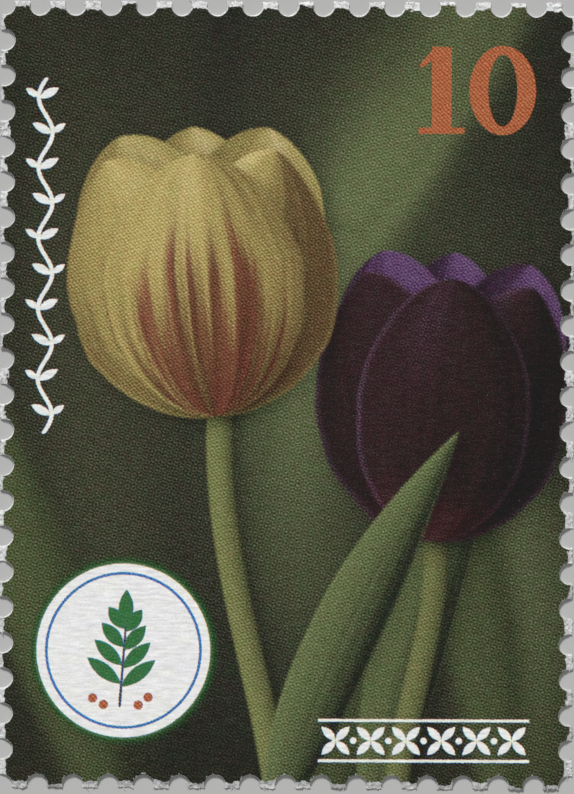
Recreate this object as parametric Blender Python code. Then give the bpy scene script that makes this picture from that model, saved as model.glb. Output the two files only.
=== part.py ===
"""A perforated postage stamp: a sheet of paper with a layer of dried gum on its back.

The stamp lies face up with its back on the ground plane. +X is the picture's right and +Y is
its top. Both layers have the same outline: a row of punched half holes on every side, a hole at
each corner, and between two holes a tooth that is torn across just outside the line of hole
centres. Lengths are in metres.
"""

import math
import random

import bmesh
import bpy

MM = 0.001

# Perforation: the gauge counts the holes in 20 mm, and there is a hole at each corner.
GAUGE = 13.25
PITCH = 20.0 * MM / GAUGE
PITCHES_ACROSS = 16
PITCHES_UP = 22
HOLE_RADIUS = 0.45 * MM
ARC_STEPS_PER_TURN = 20

# Tear: how far a tooth reaches beyond the line of hole centres, and how uneven its tip is.
TEAR_REACH = 0.12 * MM
TEAR_UNEVENNESS = 0.03 * MM
TEAR_STEPS = 4
TEAR_SEED = 13

# Layers, from the back to the face.
GUM_THICKNESS = 0.02 * MM
PAPER_THICKNESS = 0.10 * MM

# Materials: linear colour and roughness.
PAPER_COLOUR = (0.80, 0.80, 0.78, 1.0)
PAPER_ROUGHNESS = 0.6
GUM_COLOUR = (0.76, 0.74, 0.66, 1.0)
GUM_ROUGHNESS = 0.35


def clear_scene():
    """Remove every object, so that the part stands alone."""
    for item in list(bpy.data.objects):
        bpy.data.objects.remove(item, do_unlink=True)


def hole_centres():
    """Each hole's centre, counterclockwise from the lower left corner, with the directions of
    travel, in quarter turns, before and after it."""
    half_width = PITCHES_ACROSS * PITCH / 2
    half_height = PITCHES_UP * PITCH / 2
    x, y = -half_width, -half_height
    holes = []
    arriving = 3
    for leaving, count in enumerate((PITCHES_ACROSS, PITCHES_UP) * 2):
        step_x = round(math.cos(leaving * math.pi / 2)) * PITCH
        step_y = round(math.sin(leaving * math.pi / 2)) * PITCH
        for _ in range(count):
            holes.append((x, y, arriving, leaving))
            arriving = leaving
            x += step_x
            y += step_y
    return holes


def tooth_reaches(count):
    """The reach of each tooth's tip at even steps across it."""
    draw = random.Random(TEAR_SEED)
    return [
        [TEAR_REACH + draw.uniform(-1, 1) * TEAR_UNEVENNESS for _ in range(TEAR_STEPS + 1)]
        for _ in range(count)
    ]


def hole_arc(centre_x, centre_y, arriving, leaving, reach_before, reach_after):
    """The part of a hole's wall that lies in the sheet, from the tooth before it to the next."""
    start = (arriving + 2) * math.pi / 2 + math.asin(reach_before / HOLE_RADIUS)
    quarters = 2 - (leaving - arriving) % 4
    sweep = quarters * math.pi / 2
    sweep += math.asin(reach_before / HOLE_RADIUS) + math.asin(reach_after / HOLE_RADIUS)
    steps = round(ARC_STEPS_PER_TURN * sweep / (2 * math.pi))
    angles = [start - sweep * step / steps for step in range(steps + 1)]
    return [
        (centre_x + HOLE_RADIUS * math.cos(angle), centre_y + HOLE_RADIUS * math.sin(angle))
        for angle in angles
    ]


def tooth_tip(start, end, leaving, reaches):
    """The torn tip between two holes, without its ends: start and end are the holes' centres."""
    along = (math.cos(leaving * math.pi / 2), math.sin(leaving * math.pi / 2))
    outward = (along[1], -along[0])
    first = math.sqrt(HOLE_RADIUS**2 - reaches[0] ** 2)
    last = PITCH - math.sqrt(HOLE_RADIUS**2 - reaches[-1] ** 2)
    points = []
    for step in range(1, TEAR_STEPS):
        run = first + (last - first) * step / TEAR_STEPS
        points.append(
            (
                start[0] + along[0] * run + outward[0] * reaches[step],
                start[1] + along[1] * run + outward[1] * reaches[step],
            )
        )
    return points


def perforated_outline():
    """The stamp's closed outline, counterclockwise seen from its face."""
    holes = hole_centres()
    teeth = tooth_reaches(len(holes))
    outline = []
    for index, (x, y, arriving, leaving) in enumerate(holes):
        following = holes[(index + 1) % len(holes)]
        outline += hole_arc(x, y, arriving, leaving, teeth[index - 1][-1], teeth[index][0])
        outline += tooth_tip((x, y), following[:2], leaving, teeth[index])
    return outline


def plain_material(name, colour, roughness):
    """A Principled material of one colour."""
    material = bpy.data.materials.new(name)
    material.use_nodes = True
    shader = material.node_tree.nodes["Principled BSDF"]
    shader.inputs["Base Color"].default_value = colour
    shader.inputs["Roughness"].default_value = roughness
    shader.inputs["Metallic"].default_value = 0.0
    return material


def make_layer(name, outline, bottom, thickness, material):
    """One flat layer of the stamp: the outline, extruded upwards from the height bottom."""
    mesh = bpy.data.meshes.new(name)
    sheet = bmesh.new()
    base = sheet.faces.new([sheet.verts.new((x, y, bottom)) for x, y in outline])
    raised = bmesh.ops.extrude_face_region(sheet, geom=[base])
    for item in raised["geom"]:
        if isinstance(item, bmesh.types.BMVert):
            item.co.z = bottom + thickness
    bmesh.ops.recalc_face_normals(sheet, faces=sheet.faces)
    flat = [face for face in sheet.faces if len(face.verts) > 4]
    bmesh.ops.triangulate(sheet, faces=flat)
    sheet.to_mesh(mesh)
    sheet.free()
    mesh.materials.append(material)
    layer = bpy.data.objects.new(name, mesh)
    bpy.context.scene.collection.objects.link(layer)
    return layer


def build():
    """Model the gum and the paper sheet that it carries."""
    clear_scene()
    outline = perforated_outline()
    gum = plain_material("gum", GUM_COLOUR, GUM_ROUGHNESS)
    paper = plain_material("paper", PAPER_COLOUR, PAPER_ROUGHNESS)
    make_layer("gum", outline, 0.0, GUM_THICKNESS, gum)
    make_layer("paper", outline, GUM_THICKNESS, PAPER_THICKNESS, paper)


build()
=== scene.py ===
"""The finished look of a perforated postage stamp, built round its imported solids.

The sheet's printed face, its punched and torn edges, the loose fibres at its teeth and its
gummed back are made here, in the frame of the solids. Lengths and heights are in millimetres,
from the stamp's centre and the plane that it lies on, and become metres in the meshes.
"""

import logging
import math
import random
from contextlib import contextmanager
from dataclasses import dataclass, field
from enum import Enum
from typing import Callable, Iterator, Optional, Sequence, Union

import bpy
import numpy as np
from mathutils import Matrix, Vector
from mathutils.geometry import delaunay_2d_cdt


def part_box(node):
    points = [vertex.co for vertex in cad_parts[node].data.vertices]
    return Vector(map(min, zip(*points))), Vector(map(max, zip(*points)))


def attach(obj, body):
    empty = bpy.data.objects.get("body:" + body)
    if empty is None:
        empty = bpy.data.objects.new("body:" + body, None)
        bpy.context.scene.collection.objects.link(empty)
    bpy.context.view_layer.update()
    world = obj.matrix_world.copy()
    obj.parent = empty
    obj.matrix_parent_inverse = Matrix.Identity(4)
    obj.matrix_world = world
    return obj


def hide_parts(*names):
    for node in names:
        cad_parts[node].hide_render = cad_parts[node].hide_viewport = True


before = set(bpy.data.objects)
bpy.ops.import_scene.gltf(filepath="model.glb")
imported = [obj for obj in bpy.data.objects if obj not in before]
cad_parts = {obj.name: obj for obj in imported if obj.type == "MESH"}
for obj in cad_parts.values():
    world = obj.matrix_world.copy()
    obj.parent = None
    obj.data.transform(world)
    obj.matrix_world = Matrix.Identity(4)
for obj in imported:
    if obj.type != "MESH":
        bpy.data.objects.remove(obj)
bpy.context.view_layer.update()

MM = 0.001
SHEET_BACK, SHEET_FACE = (round(corner[2] / MM, 4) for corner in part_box("paper"))
LOG = logging.getLogger("stamp")

Array = np.ndarray
Colour = tuple[float, float, float]
Point = tuple[float, float]
Heights = Callable[[Array, Array], Array]


# Colour and number helpers


def srgb(red: float, green: float, blue: float) -> Array:
    """Turn a display colour, 0 to 255, into a linear one."""
    shown = np.array((red, green, blue), float) / 255.0
    return np.where(shown <= 0.04045, shown / 12.92, ((shown + 0.055) / 1.055) ** 2.4)


def brightness(colour: Array) -> Array:
    """Give how bright a linear colour looks."""
    return colour @ np.array((0.2126, 0.7152, 0.0722))


def smooth(low: float, high: float, value: Array) -> Array:
    """Ease from 0 at low to 1 at high."""
    share = np.clip((value - low) / (high - low), 0.0, 1.0)
    return share * share * (3.0 - 2.0 * share)


def bell(off: Array, width: float) -> Array:
    """Fall off softly from 1 on both sides of a line."""
    return np.exp(-((off / width) ** 2))


def blend(first: Array, second: Array, mask: Array) -> Array:
    """Mix two colours by a mask of one value a point."""
    share = np.asarray(mask)[..., None]
    return first * (1.0 - share) + second * share


def quarter_turn(turns: int) -> Array:
    """Give the direction that is so many quarter turns from the right."""
    return np.array((math.cos(turns * math.pi / 2), math.sin(turns * math.pi / 2)))


def turned(x: Array, y: Array, degrees: float) -> tuple[Array, Array]:
    """Give how far points lie along a direction and across it."""
    cosine, sine = math.cos(math.radians(degrees)), math.sin(math.radians(degrees))
    return x * cosine + y * sine, y * cosine - x * sine


def bilinear(grid: Array, columns: tuple, rows: tuple, run: Array, rise: Array) -> Array:
    """Mix four neighbouring cells of a grid.

    Args:
        grid: the cells, by row and column.
        columns: the columns to the left and right of each point.
        rows: the rows below and above each point.
        run: how far each point lies between its columns, from 0 to 1.
        rise: how far it lies between its rows.

    Returns:
        The grid's value at each point.
    """
    below, above = (grid[row, columns[0]] * (1 - run) + grid[row, columns[1]] * run for row in rows)
    return below * (1 - rise) + above * rise


def blurred(values: Array, cells: float) -> Array:
    """Soften an even grid with three box filters.

    Args:
        values: the grid, with or without colour channels.
        cells: half the filter's width, in cells.

    Returns:
        The softened grid, of the same shape.
    """
    reach = int(round(cells))
    if reach < 1:
        return values
    for axis in (0, 1) * 3:
        margin = [(0, 0)] * values.ndim
        margin[axis] = (reach + 1, reach)
        running = np.cumsum(np.pad(values, margin, mode="edge"), axis=axis)
        low = np.arange(values.shape[axis])
        high = low + 2 * reach + 1
        values = (np.take(running, high, axis) - np.take(running, low, axis)) / (2 * reach + 1)
    return values


class Noise:
    """Smooth seeded noise from -1 to 1 over a plane. Its unit is one cell of a lattice."""

    CELLS = 128

    def __init__(self, seed: int) -> None:
        """Draw the lattice from a seed."""
        self.lattice = np.random.default_rng(seed).random((self.CELLS, self.CELLS))

    def __call__(self, x: Array, y: Array) -> Array:
        """Read the noise.

        Args:
            x: the points' places to the right, in cells.
            y: their places upwards.

        Returns:
            The noise at each point.
        """
        x, y = np.broadcast_arrays(x, y)
        left, low = np.floor(x).astype(int), np.floor(y).astype(int)
        columns, rows = ((part % self.CELLS, (part + 1) % self.CELLS) for part in (left, low))
        run, rise = (part * part * (3.0 - 2.0 * part) for part in (x - left, y - low))
        return bilinear(self.lattice, columns, rows, run, rise) * 2.0 - 1.0

    def layered(self, x: Array, y: Array) -> Array:
        """Give the noise with two finer and weaker copies added."""
        return sum(0.5**layer * self(x * 2**layer + 17.3 * layer, y * 2**layer) for layer in range(3))


# Shader expressions

Value = Union["Wire", float]


class Wire:
    """The value on a socket. Arithmetic on it adds the Math nodes that work it out."""

    def __init__(self, graph: "Graph", socket: bpy.types.NodeSocket) -> None:
        """Wrap one of the graph's output sockets."""
        self.graph = graph
        self.socket = socket

    def __add__(self, other: Value) -> "Wire":
        """Add."""
        return self.graph.maths("ADD", self, other)

    __radd__ = __add__

    def __sub__(self, other: Value) -> "Wire":
        """Subtract."""
        return self.graph.maths("SUBTRACT", self, other)

    def __rsub__(self, other: Value) -> "Wire":
        """Subtract this from a number."""
        return self.graph.maths("SUBTRACT", other, self)

    def __mul__(self, other: Value) -> "Wire":
        """Multiply."""
        return self.graph.maths("MULTIPLY", self, other)

    __rmul__ = __mul__

    def cosine(self) -> "Wire":
        """Give the cosine of an angle in radians."""
        return self.graph.maths("COSINE", self)

    def clamped(self) -> "Wire":
        """Keep the value between 0 and 1."""
        return self.graph.maths("ADD", self, 0.0, clamp=True)

    def eased(self, low: float, high: float) -> "Wire":
        """Ease from 0 at low to 1 at high."""
        inputs = {"Value": self, "From Min": low, "From Max": high}
        return self.graph.wire("ShaderNodeMapRange", {"interpolation_type": "SMOOTHSTEP"}, inputs)

    def around(self, width: float) -> "Wire":
        """Turn a value from 0 to 1 into one around 0, over a width."""
        return (self - 0.5) * width


class Graph:
    """The nodes of one material."""

    def __init__(self, name: str) -> None:
        """Start an empty material.

        Args:
            name: the material's name.
        """
        self.material = bpy.data.materials.new(name)
        self.material.use_nodes = True
        self.material.node_tree.nodes.clear()

    def node(
        self, kind: str, settings: Optional[dict] = None, inputs: Optional[dict] = None
    ) -> bpy.types.Node:
        """Add a node.

        Args:
            kind: the node's type.
            settings: its own properties, set first.
            inputs: what each input holds, by name or place: a number, a colour or a Wire.

        Returns:
            The node.
        """
        made = self.material.node_tree.nodes.new(kind)
        for name, setting in (settings or {}).items():
            setattr(made, name, setting)
        for name, value in (inputs or {}).items():
            if isinstance(value, Wire):
                self.material.node_tree.links.new(value.socket, made.inputs[name])
            else:
                made.inputs[name].default_value = value
        return made

    def wire(
        self, kind: str, settings: Optional[dict] = None, inputs: Optional[dict] = None,
        output: Union[int, str] = 0,
    ) -> Wire:
        """Add a node and give one of its outputs."""
        return Wire(self, self.node(kind, settings, inputs).outputs[output])

    def maths(self, operation: str, *values: Value, clamp: bool = False) -> Wire:
        """Work a Math operation out on one or two values."""
        settings = {"operation": operation, "use_clamp": clamp}
        return self.wire("ShaderNodeMath", settings, dict(enumerate(values)))

    def mixed(self, first: object, second: object, share: Value) -> Wire:
        """Mix two colours, each a Wire or three numbers."""
        sides = [(*side, 1.0) if isinstance(side, tuple) else side for side in (first, second)]
        return self.wire("ShaderNodeMix", {"data_type": "RGBA"}, {0: share, 6: sides[0], 7: sides[1]}, 2)

    def mixed_each(self, first: object, second: object, shares: Wire) -> Wire:
        """Mix two sets of three numbers, each number by its own share."""
        settings = {"data_type": "VECTOR", "factor_mode": "NON_UNIFORM"}
        return self.wire("ShaderNodeMix", settings, {1: shares, 4: first, 5: second}, 1)

    def eased_each(self, depths: Wire, blur: Colour) -> Wire:
        """Ease each of three depths from 0 outside to 1 inside.

        Args:
            depths: the depths, in millimetres.
            blur: how far inside and outside the edge each of them is eased.

        Returns:
            The three shares.
        """
        settings = {"data_type": "FLOAT_VECTOR", "interpolation_type": "SMOOTHSTEP"}
        inputs = {6: depths, 7: tuple(-part for part in blur), 8: blur}
        return self.wire("ShaderNodeMapRange", settings, inputs, "Vector")

    def shifted(self, values: Wire, by: Value) -> Wire:
        """Add one number to each of three."""
        step = by if isinstance(by, Wire) else (by, by, by)
        return self.wire("ShaderNodeVectorMath", {"operation": "ADD"}, {0: values, 1: step})

    def curved(self, colour: Wire, power: float) -> Wire:
        """Raise each part of a colour to a power."""
        return self.wire("ShaderNodeGamma", None, {0: colour, 1: power})

    def parts(self, values: Wire) -> list[Wire]:
        """Take three numbers apart."""
        split = self.node("ShaderNodeSeparateXYZ", None, {0: values})
        return [Wire(self, output) for output in split.outputs]

    def place(self) -> Wire:
        """Give the place on the object, in metres."""
        return self.wire("ShaderNodeTexCoord", output="Object")

    def attribute(self, name: str, output: str = "Color") -> Wire:
        """Read a mesh attribute."""
        return self.wire("ShaderNodeAttribute", {"attribute_name": name}, output=output)

    def noise(
        self, size: float, detail: float = 2.0, stretch: Colour = (1.0, 1.0, 1.0),
        output: Union[int, str] = 0,
    ) -> Wire:
        """Make noise on the object's coordinates.

        Args:
            size: about the width of one blotch, in millimetres.
            detail: the number of finer layers.
            stretch: how many times longer the blotches are along each axis.
            output: the output to give.

        Returns:
            The noise, from 0 to 1.
        """
        scale = tuple(1.0 / (size * MM * part) for part in stretch)
        spread = self.wire("ShaderNodeMapping", None, {"Vector": self.place(), "Scale": scale})
        inputs = {"Vector": spread, "Scale": 1.0, "Detail": detail}
        return self.wire("ShaderNodeTexNoise", None, inputs, output)

    def bump(self, height: Wire, distance: float) -> Wire:
        """Turn a height from 0 to 1 into a normal, over a distance in millimetres."""
        return self.wire("ShaderNodeBump", None, {"Height": height, "Distance": distance * MM})

    def surface(self, **values: object) -> bpy.types.Material:
        """Finish the material with a Principled surface.

        Args:
            values: what its sockets hold, with underscores for spaces in their names.

        Returns:
            The material.
        """
        inputs = {name.replace("_", " "): value for name, value in values.items()}
        shader = self.wire("ShaderNodeBsdfPrincipled", None, inputs)
        self.node("ShaderNodeOutputMaterial", None, {"Surface": shader})
        return self.material


# The picture: soft shapes laid over each other on an even grid


@dataclass(frozen=True)
class Tones:
    """The light, middle and dark colour of one kind of surface."""

    light: Array
    mid: Array
    dark: Array

    def dimmed(self, light: float, mid: float, dark: float) -> "Tones":
        """Give the same tones, darker."""
        return Tones(self.light * light, self.mid * mid, self.dark * dark)


YELLOW = Tones(srgb(181, 164, 101), srgb(156, 139, 84), srgb(92, 72, 46))
MAROON = Tones(srgb(53, 36, 39), srgb(45, 32, 33), srgb(32, 25, 25))
VIOLET = Tones(srgb(94, 67, 104), srgb(60, 41, 60), srgb(34, 26, 31))
LEAF = Tones(srgb(100, 110, 72), srgb(66, 74, 50), srgb(38, 42, 31))
STEM = Tones(srgb(118, 122, 76), srgb(78, 82, 52), srgb(43, 45, 32))
FLAME = srgb(106, 54, 46)
PURPLE_SHEEN = srgb(53, 38, 55)
PURPLE_EDGE = srgb(104, 78, 100)
YELLOW_SHEEN = srgb(104, 96, 86)
GREEN_BASE = srgb(126, 126, 74)
RED_BASE = srgb(72, 42, 42)
SUN = np.array((-0.50, 0.52, 0.69)) / math.hypot(-0.50, 0.52, 0.69)
SUN_WRAP = 0.3


def lit(normal: tuple[Array, Array, Array]) -> Array:
    """Give how bright a pictured surface is, from 0 to 1, under the picture's own soft sun."""
    facing = sum(part * ray for part, ray in zip(normal, SUN))
    return np.clip((facing + SUN_WRAP) / (1.0 + SUN_WRAP), 0.0, 1.0)


def beside(start: Point, end: Point, x: Array, y: Array) -> tuple[Array, Array, Array]:
    """Find the nearest places on a straight line.

    Args:
        start: where the line starts.
        end: where it ends.
        x: the points' places to the right.
        y: their places upwards.

    Returns:
        The share of the line's length at the nearest place, and the steps to the right and
        upwards from there to each point.
    """
    run, rise = end[0] - start[0], end[1] - start[1]
    ahead = np.clip(((x - start[0]) * run + (y - start[1]) * rise) / (run**2 + rise**2), 0, 1)
    return ahead, x - start[0] - ahead * run, y - start[1] - ahead * rise


class Plate:
    """The picture's colours on an even grid, or in a window on a larger one."""

    def __init__(self, x: Array, y: Array, colour: Array) -> None:
        """Keep each cell's place and its linear colour."""
        self.x, self.y, self.colour = x, y, colour
        self.step = float(x[0, 1] - x[0, 0])

    @classmethod
    def blank(cls, width: float, height: float, step: float) -> "Plate":
        """Make a black plate round the origin."""
        x, y = np.meshgrid(*(np.arange(-size / 2, size / 2 + step, step) for size in (width, height)))
        return cls(x, y, np.zeros(x.shape + (3,)))

    def window(self, centre: Point, reach: float) -> "Plate":
        """Cut out the square round a point, which shares this plate's colours.

        Args:
            centre: the point.
            reach: half the square's width.

        Returns:
            The part of the plate inside the square.
        """
        row = (np.abs(self.y[:, 0] - centre[1]) <= reach).nonzero()[0]
        column = (np.abs(self.x[0] - centre[0]) <= reach).nonzero()[0]
        part = (slice(row[0], row[-1] + 1), slice(column[0], column[-1] + 1))
        return Plate(self.x[part], self.y[part], self.colour[part])

    def lay(self, mask: Array, colour: Array) -> None:
        """Cover the cells under a mask."""
        self.colour[...] = blend(self.colour, colour, mask)

    def shade(self, mask: Array, spread: float, shift: Point, depth: float) -> None:
        """Darken what lies under a shape that is laid next.

        Args:
            mask: the shape.
            spread: the shadow's softness.
            shift: where the shadow falls from the shape.
            depth: how dark it is, from 0 to 1.
        """
        soft = blurred(mask, spread / self.step / 3)
        soft = np.roll(soft, (round(shift[1] / self.step), round(shift[0] / self.step)), (0, 1))
        self.colour[...] *= 1.0 - depth * soft[..., None]

    def soften(self, radius: float) -> None:
        """Blur everything laid so far."""
        self.colour[...] = blurred(self.colour, radius / self.step / 1.7)

    def read(self, x: Array, y: Array) -> Array:
        """Read the colours at any points, between the cells too.

        Args:
            x: the points' places to the right.
            y: their places upwards.

        Returns:
            The linear colour at each point.
        """
        across, up = (x - self.x[0, 0]) / self.step, (y - self.y[0, 0]) / self.step
        left = np.clip(np.floor(across).astype(int), 0, self.x.shape[1] - 2)
        low = np.clip(np.floor(up).astype(int), 0, self.x.shape[0] - 2)
        run, rise = (across - left)[..., None], (up - low)[..., None]
        return bilinear(self.colour, (left, left + 1), (low, low + 1), run, rise)


class Side(Enum):
    """Which side of a petal or leaf is seen."""

    OUTER = 1.0
    INNER = -0.8


@dataclass(frozen=True)
class Blade:
    """A petal or a leaf: a long form with a midrib, wide in the middle and closed at the tip.

    Angles are in degrees. The roll is how far the surface turns from the midrib to its edges,
    and the lean is how far it tips back at its base and at its tip.
    """

    base: Point
    angle: float
    length: float
    half_width: float
    seed: int
    widest: float = 0.5
    tip_power: float = 0.6
    bend: float = 0.0
    roll: float = 68.0
    turn: float = 0.0
    lean: tuple[float, float] = (-30.0, 22.0)
    side: Side = Side.OUTER
    shadow_margin: float = 1.5

    @property
    def heading(self) -> Point:
        """Give the direction from the base to the tip."""
        return math.cos(math.radians(self.angle)), math.sin(math.radians(self.angle))

    def place(self, plate: Plate) -> tuple[Array, Array, Array]:
        """Work out where each cell lies on the blade.

        Args:
            plate: the grid.

        Returns:
            The share of the length from the base, the share of the half width from the midrib,
            with its sign, and the distance inside the edge.
        """
        along, across = turned(plate.x - self.base[0], plate.y - self.base[1], self.angle)
        along = along / self.length
        across = across - self.bend * self.length * along * np.abs(along)
        share = np.clip(along, 1e-4, 1 - 1e-4)
        base_power = self.tip_power * self.widest / (1 - self.widest)
        fullest = self.widest**base_power * (1 - self.widest) ** self.tip_power
        width = self.half_width * share**base_power * (1 - share) ** self.tip_power / fullest
        waves = Noise(self.seed)
        width = width * (1 + 0.025 * waves(share * 7.0, 0.0) + 0.012 * waves(share * 19.0, 5.0))
        side = across / np.maximum(width, 1e-3)
        beyond = np.maximum(np.maximum(-along, along - 1) * self.length, np.abs(across) - 0.02)
        edge = np.where((along > 0) & (along < 1), (1 - np.abs(side)) * width, -beyond)
        return share, np.clip(side, -1, 1), edge

    def normal(self, share: Array, side: Array) -> tuple[Array, Array, Array]:
        """Work out the way that the surface faces.

        Args:
            share: the places' shares of the length from the base.
            side: their shares of the half width from the midrib.

        Returns:
            The normals' parts to the right, upwards and towards the viewer.
        """
        round_rib = np.radians(side * self.roll + self.turn) * self.side.value
        lean = np.radians(self.lean[0] + (self.lean[1] - self.lean[0]) * smooth(0, 1, share))
        aside, ahead = np.sin(round_rib), np.sin(lean) * np.cos(round_rib)
        right, up = self.heading
        return ahead * right - aside * up, ahead * up + aside * right, np.cos(round_rib) * np.cos(lean)

    def window(self, plate: Plate) -> Plate:
        """Give the part of the plate that the blade and its shadow touch."""
        middle = tuple(foot + self.length / 2 * way for foot, way in zip(self.base, self.heading))
        return plate.window(middle, self.length / 2 + self.half_width + self.shadow_margin)


@dataclass(frozen=True)
class Leaf:
    """How a leaf is coloured: its veins, its dark midrib with a light beside it, and its rim."""

    blade: Blade
    tones: Tones
    focus: float = 0.05
    shadow: float = 0.35
    rib_width: float = 0.05
    glint: float = 0.18
    rim: float = 0.25

    def paint(self, plate: Plate) -> None:
        """Lay the leaf on the picture.

        Args:
            plate: the picture.
        """
        part = self.blade.window(plate)
        share, side, edge = self.blade.place(part)
        mask = smooth(-self.focus, self.focus, edge)
        veins = Noise(self.blade.seed + 50)
        grain = 0.09 * veins(side * 16 + 40, share * 3) + 0.05 * veins(side * 34 + 80, share * 4)
        glow = np.clip(lit(self.blade.normal(share, side)) * 1.25 - 0.15 + grain, 0, 1)
        rib = bell(side, self.rib_width) * smooth(0.0, 0.1, share)
        colour = blend(self.tones.dark, self.tones.light, glow) * (1 - 0.25 * rib[..., None])
        bright = self.glint * bell(side + 0.11, 0.06) + self.rim * smooth(0.16, 0.03, edge)
        part.shade(mask, 0.9, (0.25, -0.25), self.shadow)
        part.lay(mask, colour + self.tones.light * bright[..., None])


@dataclass(frozen=True)
class Stem:
    """A round stem along a cubic curve through four control points."""

    controls: tuple[Point, Point, Point, Point]
    radius: float
    tones: Tones
    focus: float = 0.05
    shadow_margin: float = 2.5
    steps: int = 90

    def line(self) -> Array:
        """Give points along the stem's middle.

        Returns:
            The points, from the foot upwards.
        """
        share = np.linspace(0, 1, self.steps)[:, None]
        return sum(
            math.comb(3, power) * (1 - share) ** (3 - power) * share**power * np.array(point)
            for power, point in enumerate(self.controls)
        )

    def paint(self, plate: Plate) -> None:
        """Lay the stem on the picture.

        Args:
            plate: the picture.
        """
        reach = np.ptp(self.controls, axis=0).max() / 2 + self.shadow_margin
        part = plate.window(tuple(np.mean(self.controls, 0)), reach)
        line = self.line()
        nearest, side = np.full(part.x.shape, 1e9), np.zeros(part.x.shape)
        for start, end in zip(line[:-1], line[1:]):
            run, rise = (end - start) / math.dist(start, end)
            _, off_x, off_y = beside(start, end, part.x, part.y)
            off = np.hypot(off_x, off_y)
            closer = off < nearest
            side = np.where(closer, run * off_y - rise * off_x, side)
            nearest = np.where(closer, off, nearest)
        side = np.clip(side / self.radius, -1, 1)
        mask = smooth(-self.focus, self.focus, self.radius - nearest)
        glow = lit((-0.9 * side, np.full(side.shape, 0.1), np.sqrt(1 - 0.8 * side**2)))
        streaks = 0.06 * Noise(77)(side * 6 + 9, part.y * 0.8)
        glow = np.clip(glow * 1.2 - 0.1 + streaks, 0, 1)
        part.shade(mask, 0.8, (0.25, -0.2), 0.4)
        part.lay(mask, blend(self.tones.dark, self.tones.light, glow))


@dataclass(frozen=True)
class PetalFinish:
    """How a tulip's petals are coloured."""

    tones: Tones
    veins: float = 0.10
    contrast: float = 1.0
    pale_edge: float = 0.35
    edge_tone: Optional[Array] = None
    focus: float = 0.045
    flame: Optional[Array] = None
    base_tint: Optional[Array] = None
    sheen: Optional[Array] = None
    sheen_focus: float = 26.0
    inner: Optional[Tones] = None

    def grain(self, seed: int, share: Array, side: Array) -> Array:
        """Draw the fine lengthwise veins of a petal.

        Args:
            seed: the seed of the draw.
            share: the places' shares of the petal's length.
            side: their shares of its half width.

        Returns:
            The veins' strength, round 0.
        """
        fine = Noise(seed)
        grain = fine(side * 13 + 31, share * 2.2) + 0.6 * fine(side * 29 + 61, share * 3.1)
        return grain + 0.6 * fine(side * 57 + 7, share * 4.5) + 0.9 * fine(side * 3.4 + 90, share * 2.4)

    def paint(self, blade: Blade, plate: Plate, tones: Tones, flame_reach: float) -> None:
        """Lay one petal on the picture.

        Args:
            blade: the petal's form.
            plate: the picture.
            tones: this petal's own tones.
            flame_reach: how far up the petal its flames run, as a share of its length.
        """
        part = blade.window(plate)
        share, side, edge = blade.place(part)
        mask = smooth(-self.focus, self.focus, edge)
        normal = blade.normal(share, side)
        grain = self.grain(blade.seed + 200, share, side)
        value = np.clip((lit(normal) - 0.5) * self.contrast + 0.5 + self.veins * grain, 0, 1)
        colour = blend(tones.dark, tones.mid, smooth(0.0, 0.55, value))
        colour = blend(colour, tones.light, smooth(0.5, 1.0, value))
        if self.base_tint is not None:
            tint = self.base_tint * (0.45 + 0.8 * value)[..., None]
            colour = blend(colour, tint, 0.85 * smooth(0.26, 0.0, share))
        if self.flame is not None:
            flames, tone = self.flames(blade.seed + 300, share, side, flame_reach)
            colour = blend(colour, tone * (0.55 + 0.75 * value)[..., None], flames)
        if self.sheen is not None:
            gleam = np.clip(-0.35 * normal[0] + 0.45 * normal[1] + 0.80 * normal[2], 0, 1)
            gleam = gleam**self.sheen_focus * (0.8 + 0.35 * grain)
            colour = colour + self.sheen * gleam[..., None]
        pale = self.pale_edge * smooth(0.30, 0.02, edge) * (0.4 + 0.6 * value)
        colour = blend(colour, tones.light * 1.05 if self.edge_tone is None else self.edge_tone, pale)
        part.shade(mask, 1.0, (0.22, -0.18), 0.45)
        part.lay(mask, colour)

    def flames(self, seed: int, share: Array, side: Array, reach: float) -> tuple[Array, Array]:
        """Draw feathered flames that run up from the petal's base.

        Args:
            seed: the seed of the draw.
            share: the places' shares of the petal's length.
            side: their shares of its half width.
            reach: how far up the flames run, as a share of the length.

        Returns:
            How much of each place the flames cover, and their colour there.
        """
        streak = Noise(seed)
        height = reach * (1 - 0.75 * np.abs(side) ** 1.5) + 0.16 * streak(side * 9 + 11, share * 1.3)
        height = height + 0.10 * streak(side * 21 + 3, share * 2)
        height = height + 0.06 * streak(side * 47 + 23, share * 3)
        gaps = streak(side * 15 + 71, share * 1.7) + 0.45 * streak(side * 37 + 13, share * 2.6)
        gaps = gaps + 0.9 * (height - share) / reach
        deep = streak(side * 11 + 5, share * 1.2) + 0.5 * streak(side * 53 + 37, share * 3)
        tone = blend(self.flame * 1.15, self.flame * 0.55, smooth(-0.7, 0.7, deep))
        return 0.90 * smooth(0.16, -0.14, share - height) * smooth(-0.80, 0.60, gaps), tone


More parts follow.
